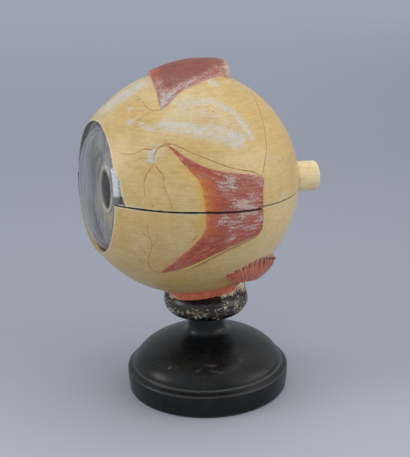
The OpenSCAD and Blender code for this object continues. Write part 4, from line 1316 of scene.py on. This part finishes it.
def build_vitreous(lens_back):
    outer_r, air, ring_depth = 61.6, 0.3, 12
    cut = IRIS_FRONT - IRIS_T - air - ring_depth - air
    hollow, centre = LENS_BACK_R + 0.3, lens_back + LENS_BACK_R
    lip = math.sqrt(hollow ** 2 - (cut - centre) ** 2)
    start = math.degrees(math.asin(cut / outer_r))
    profile = arc((0, 0), outer_r, -89.9, start, 70)
    end = math.degrees(math.atan2(cut - centre, lip))
    profile += arc((0, centre), hollow, end, -89.9, 30)
    points, faces = lathe(profile, 180)
    make_mesh("vitreous_body_glass", points, faces, "inner_body", VITREOUS,
              "vitreous_body")


# ---------------------------------------------------------------- stand
# The plugged hole in the foot's dome: place and the way it faces. Scratches: points and strength
HOLE_AT = (27.2, -33.7, 27.95)
HOLE_OUT = (0.38, -0.47, 0.8)
SCRATCHES = [
    ([(36.5, -12.5, 30.5), (37.5, -10, 30.3)], 0.55),
    ([(38.2, -9.5, 30), (39, -6, 30)], 0.75),
    ([(41.5, -10, 28), (42.6, -6.5, 27.6)], 0.5),
    ([(43.5, -5, 26.9), (43.8, -3, 26.8)], 0.5),
    ([(38.2, -18.4, 28.1), (38.6, -17.2, 28.1)], 0.6),
    ([(36.5, 11, 30.7), (37.2, 12.4, 30.4)], 0.6),
]


def putty_strip(start, end, full, thin, inner, taper):
    """A strip of filler on the collar from start to end (degrees), full wide in the middle."""
    cols = int((end - start) * 1.5)
    angle = np.linspace(start, end, cols)
    turn = np.radians(angle)
    wobble = flat_noise(np.cos(turn) * 5, np.sin(turn) * 5, 71)
    wobble += 0.6 * flat_noise(np.cos(turn) * 14, np.sin(turn) * 14, 72)
    share = smoothstep(np.minimum(angle - start, end - angle) + 3 * wobble, 0, taper)
    top_r = thin + (full - thin) * share + 0.35 * wobble
    foot_r = np.minimum(top_r + (0.4 + 1.6 * share) * (1 + 0.5 * wobble), COLLAR_R - 0.8)
    rows, edge = [], []

    def add(r, level, spoil):
        rows.append(np.stack([r * np.cos(turn), r * np.sin(turn), level], 1))
        edge.append(np.broadcast_to(spoil, (cols,)))

    def under(r):
        x, y = r * np.cos(turn) - BALL_AT[0], r * np.sin(turn)
        reach = UNDER_PAD - PAD_T * smoothstep(-y, 25.4, 26.2)
        return BALL_AT[2] - np.sqrt(reach ** 2 - x ** 2 - (y - BALL_AT[1]) ** 2)

    def collar(r):
        return COLLAR_Z + np.sqrt(np.maximum(COLLAR_BEAD ** 2 - np.maximum(r - COLLAR_MID, 0) ** 2, 0))

    for k in range(5):
        r = inner + (top_r - inner) * k / 4
        add(r, under(r) - 0.02, 0.0)
    high, low = under(top_r) - 0.02, np.minimum(collar(foot_r), under(top_r) - 0.1)
    for k in range(1, 9):
        t = k / 8
        bulge = 0.5 * math.sin(math.pi * t) * (1 + wobble)
        lump = 0.35 * flat_noise(np.cos(turn) * 9, np.sin(turn) * 9, 73, t * 3)
        r = top_r + (foot_r - top_r) * t ** 1.6 + (bulge + lump * math.sin(math.pi * t)) * share
        add(r, high + (low - high) * t, t)
    for k in range(1, 5):
        r = foot_r + (inner - foot_r) * k / 4
        add(r, np.minimum(collar(r), under(r)) - 0.12, 1.0)
    count = len(rows)
    faces = [
        (i * cols + c, i * cols + c + 1, (i + 1) % count * cols + c + 1, (i + 1) % count * cols + c)
        for i in range(count) for c in range(cols - 1)
    ]
    faces += [tuple(i * cols for i in range(count)), tuple(i * cols + cols - 1 for i in range(count))[::-1]]
    return np.concatenate(rows), faces, np.concatenate(edge)


def build_filler():
    """Filler behind, between collar and lower muscle, and in front, up to the ball."""
    back, back_faces, back_edge = putty_strip(-2, 182, 25.0, 20.4, 15.6, 20)
    front, front_faces, front_edge = putty_strip(-118, -62, 27.2, 24.6, 24.0, 12)
    faces = back_faces + [tuple(i + len(back) for i in q) for q in front_faces]
    make_mesh("seat_filler_putty", np.concatenate([back, front]) * MM, faces, "stand", putty(),
              "seat_filler", {"edge": np.concatenate([back_edge, front_edge])}, world=True)


def foot_profile():
    foot_r, band, dome_h, power = 55.0, 15.8, 25.0, 1.17
    groove, step, neck_r, neck_top, fillet = 3.6, 1.2, 12.8, 55.0, 6.0
    top = band + dome_h
    points = [(3.1, 7), (9.2, 7), (9.2, 0.3), (9.5, 0), (foot_r - 2.0, 0), (foot_r - 1.4, 0.3),
              (foot_r - 0.9, 1.0), (foot_r - 0.3, band * 0.45), (foot_r, band * 0.75), (foot_r, band - 1.5),
              (foot_r - 0.25, band - 0.7), (foot_r - 0.9, band - 0.1),
              (foot_r - groove + 0.5, band + 0.75), (foot_r - groove, band + 1.0),
              (foot_r - groove - 0.1, band + 1.3), (foot_r - groove + 0.1, band + step + 0.4),
              (foot_r - groove - 0.3, band + step + 0.9)]
    r0, z0, h0 = foot_r - groove - step, band + step + 1, dome_h - step - 1
    for k in range(1, 60):
        t = math.radians(90 * k / 60)
        r, z = r0 * math.cos(t) ** power, z0 + h0 * math.sin(t) ** power
        if r > neck_r + fillet * 0.75:
            points.append((r, z))
    centre = (neck_r + fillet, top - 3 + fillet + 0.6)
    points += arc(centre, fillet, 250, 180, 10)
    points += [(neck_r, top + 8), (neck_r, neck_top - 0.6), (neck_r - 0.5, neck_top), (7, neck_top)]
    return points


def refine(profile, longest=0.8):
    out = [profile[0]]
    for a, b in zip(profile, profile[1:]):
        parts = max(1, int(math.dist(a, b) / longest))
        out += [(a[0] + (b[0] - a[0]) * k / parts, a[1] + (b[1] - a[1]) * k / parts)
                for k in range(1, parts + 1)]
    return out


def build_foot():
    mm, faces = turn_profile(refine(foot_profile()), 300)
    r = np.hypot(mm[:, 0], mm[:, 1])
    z = mm[:, 2]
    # worn along the band's edge, the groove's edge and the foot's lower edge
    wear = 0.55 * patch(r, z, (54.7, 15.4), (0.4, 0.4))
    wear = np.maximum(wear, patch(r, z, (51.2, 17.6), (0.35, 0.4)))
    for place, strength in SCRATCHES:
        far, _ = line_distance(mm, np.array(place, float))
        wear = np.maximum(wear, strength * np.exp(-(far / 0.5) ** 2))
    wear = np.maximum(wear, 0.5 * patch(r, z, (53.8, 0.6), (0.6, 0.6)))
    dent = 0.18 * hash_noise(mm * 0.08, 61) * smoothstep(z, 1.0, 5.0)
    outward = np.column_stack([mm[:, 0] / np.maximum(r, 1), mm[:, 1] / np.maximum(r, 1), np.zeros(len(r))])
    chips = np.maximum(hash_noise(mm * 0.22, 62) - 0.62, 0) * 2.2 * wear
    mm = mm + outward * (dent - chips - 0.15)[:, None] * (r > 12.0)[:, None]
    wear = np.maximum(wear, np.clip(chips * 3, 0, 1))
    make_mesh("stand_foot_turned", mm * MM, faces, "stand", EBONY, "stand_foot",
              {"edge": wear}, world=True)


def build_pinhole():
    """The small plugged hole in the dome of the foot."""
    radius, cols = 1.1, 24
    profile = [(0.02, 0.1), (0.45, 0.1), (0.62, 0.16), (0.8, 0.24), (1.0, 0.22), (1.2, 0.1), (1.4, -0.2)]
    points, faces = turn_profile([(r * radius, h) for r, h in profile], cols)
    normal = Vector(HOLE_OUT).normalized()
    turn = np.array(normal.to_track_quat("Z", "Y").to_matrix())
    points = points @ turn.T + np.array(HOLE_AT)
    make_mesh("foot_pinhole", points * MM, faces, "stand", EBONY,
              attrs={"edge": np.repeat([0, 0, 0.5, 1.0, 0.9, 0.4, 0], cols)}, world=True)


# ---------------------------------------------------------------- scene
def build_camera():
    """The camera that was fitted to points marked on the photo."""
    camera = bpy.data.cameras.new("camera")
    camera.sensor_fit = "HORIZONTAL"
    camera.sensor_width = 36.0
    camera.lens = 86.43
    camera.clip_start, camera.clip_end = 0.02, 50
    obj = bpy.data.objects.new("camera", camera)
    bpy.context.scene.collection.objects.link(obj)
    place = (0.595136, -0.173506, 0.312829)
    right = Vector((0.28784313, 0.95740189, -0.02297727))
    up = Vector((-0.28962159, 0.10989391, 0.95081158))
    ahead = Vector((-0.91283387, 0.26702986, -0.30891647))
    turn = Matrix((right, up, -ahead)).transposed().to_4x4()
    obj.matrix_world = Matrix.Translation(place) @ turn
    bpy.context.scene.camera = obj


def add_sun(name, toward, power, spread, color):
    light = bpy.data.lights.new(name, "SUN")
    light.energy = power
    light.angle = math.radians(spread)
    light.color = color
    obj = bpy.data.objects.new(name, light)
    bpy.context.scene.collection.objects.link(obj)
    obj.location = Vector(toward)
    obj.rotation_mode = "QUATERNION"
    obj.rotation_quaternion = Vector(toward).to_track_quat("Z", "Y")


def build_stage():
    """Floor, background and six wide suns."""
    size = 40.0
    mesh = bpy.data.meshes.new("floor")
    mesh.from_pydata([(-size, -size, 0), (size, -size, 0), (size, size, 0), (-size, size, 0)], [],
                     [(0, 1, 2, 3)])
    floor = bpy.data.objects.new("floor", mesh)
    bpy.context.scene.collection.objects.link(floor)
    mesh.materials.append(floor_paint())
    world = bpy.data.worlds.new("studio")
    world.use_nodes = True
    tree = world.node_tree
    shade = tree.nodes["Background"]
    shade.inputs["Color"].default_value = (0.93, 0.96, 1.0, 1)
    shade.inputs["Strength"].default_value = 0.5
    seen = tree.nodes.new("ShaderNodeBackground")
    seen.inputs["Color"].default_value = srgb(163, 170, 184)
    path = tree.nodes.new("ShaderNodeLightPath")
    either = tree.nodes.new("ShaderNodeMath")
    either.operation = "MAXIMUM"
    blend = tree.nodes.new("ShaderNodeMixShader")
    for start, end in (
        (path.outputs["Is Camera Ray"], either.inputs[0]),
        (path.outputs["Is Transmission Ray"], either.inputs[1]),
        (either.outputs[0], blend.inputs[0]),
        (shade.outputs[0], blend.inputs[1]),
        (seen.outputs[0], blend.inputs[2]),
        (blend.outputs[0], tree.nodes["World Output"].inputs["Surface"]),
    ):
        tree.links.new(start, end)
    bpy.context.scene.world = world
    # name, toward, power, spread in degrees, colour
    for sun in (
        ("soft_left", (0.5, -0.9, 0.95), 0.45, 100, (1.0, 0.985, 0.96)),
        ("window_left", (-0.15, -0.95, 0.42), 0.6, 26, (1.0, 0.99, 0.98)),
        ("soft_right", (0.3, 1.0, 0.62), 0.6, 90, (1.0, 0.985, 0.96)),
        ("window_right", (0.7, 0.75, 0.55), 0.2, 44, (1.0, 0.99, 0.98)),
        ("soft_low", (0.5, 1.0, 0.06), 0.8, 50, (1.0, 0.96, 0.9)),
        ("soft_top", (-0.15, 0.1, 1.0), 0.62, 60, (1.0, 0.99, 0.98)),
    ):
        add_sun(*sun)


def set_material(node, material):
    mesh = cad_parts[node].data
    mesh.materials.clear()
    mesh.materials.append(material)


scene = bpy.context.scene
scene.view_settings.view_transform = "Standard"
build_camera()
build_stage()

SKIN = painted_skin()
MUSCLE_SIDE = muscle_paint("side_muscle_paint", (RED, RED_DARK, RED_PINK), 0.72, warm=True, film=0.24)
MUSCLE_UPPER = muscle_paint("upper_muscle_paint", (RED, RED_DARK, RED_PINK), 0.85, seat=11.0, crest=0.6,
                            film=0.34, chipped=0.05)
MUSCLE_OBLIQUE = muscle_paint("oblique_muscle_paint", (RUST, RUST_DARK, RUST_PALE), 0.45, seat=23.0)
VESSEL = vessel_paint("vessel_line", srgb(146, 92, 66), srgb(184, 146, 100))
BROWN_LINE = vessel_paint("brown_line", srgb(160, 104, 66), srgb(184, 146, 94))
EBONY = turned_wood()
GLASS = glass("cornea_glass_film", GLASS_TINT, (0.07, 0.2), 0.08, 0.6)
LENS = glass("lens_glass_film", LENS_TINT, (0.55, 0.1), 0.05)
VITREOUS = glass("vitreous_glass_film", VITREOUS_TINT, (0.25, 0.06), 0.05)
IRIS = iris_paint()
IVORY = ivory()

PLASTER = plaster("bare_plaster", srgb(206, 206, 200), srgb(176, 168, 150))
CHOROID = inner_layer("choroid_paint", srgb(84, 40, 32), srgb(56, 28, 24), srgb(120, 40, 34), 0.6)
RETINA = inner_layer("retina_paint", srgb(206, 138, 104), srgb(190, 116, 84), srgb(150, 44, 36), 0.75)
STEEL = steel()
for node, material in (
    ("upper_sclera", PLASTER), ("lower_sclera", PLASTER),
    ("upper_choroid", CHOROID), ("lower_choroid", CHOROID),
    ("upper_retina", RETINA), ("lower_retina", RETINA),
    ("inferior_rectus", pad_paint()), ("stand_collar", worn_collar()), ("optic_nerve", nerve_paint()),
    ("ciliary_ring", ciliary()), ("stand_screw", STEEL), ("screw_washer", STEEL),
    ("locating_pegs", bare_wood()),
):
    set_material(node, material)

build_skin("upper_sclera_skin", 1, OPENING_UPPER, "upper_half", True)
build_skin("lower_sclera_skin", -1, OPENING_LOWER, "stand", False)
for muscle, side in (("lateral_rectus", 1), ("medial_rectus", -1)):
    for part, sign, body in (("upper", 1, "upper_half"), ("lower", -1, "stand")):
        build_side_muscle(f"{muscle}_{part}_relief", side, sign, body, f"{muscle}_{part}")
build_upper_muscle()
build_oblique()
build_vessels()
build_cornea()
build_iris()
build_pupil_ring()
build_vitreous(build_lens())
build_filler()
build_foot()
build_pinhole()
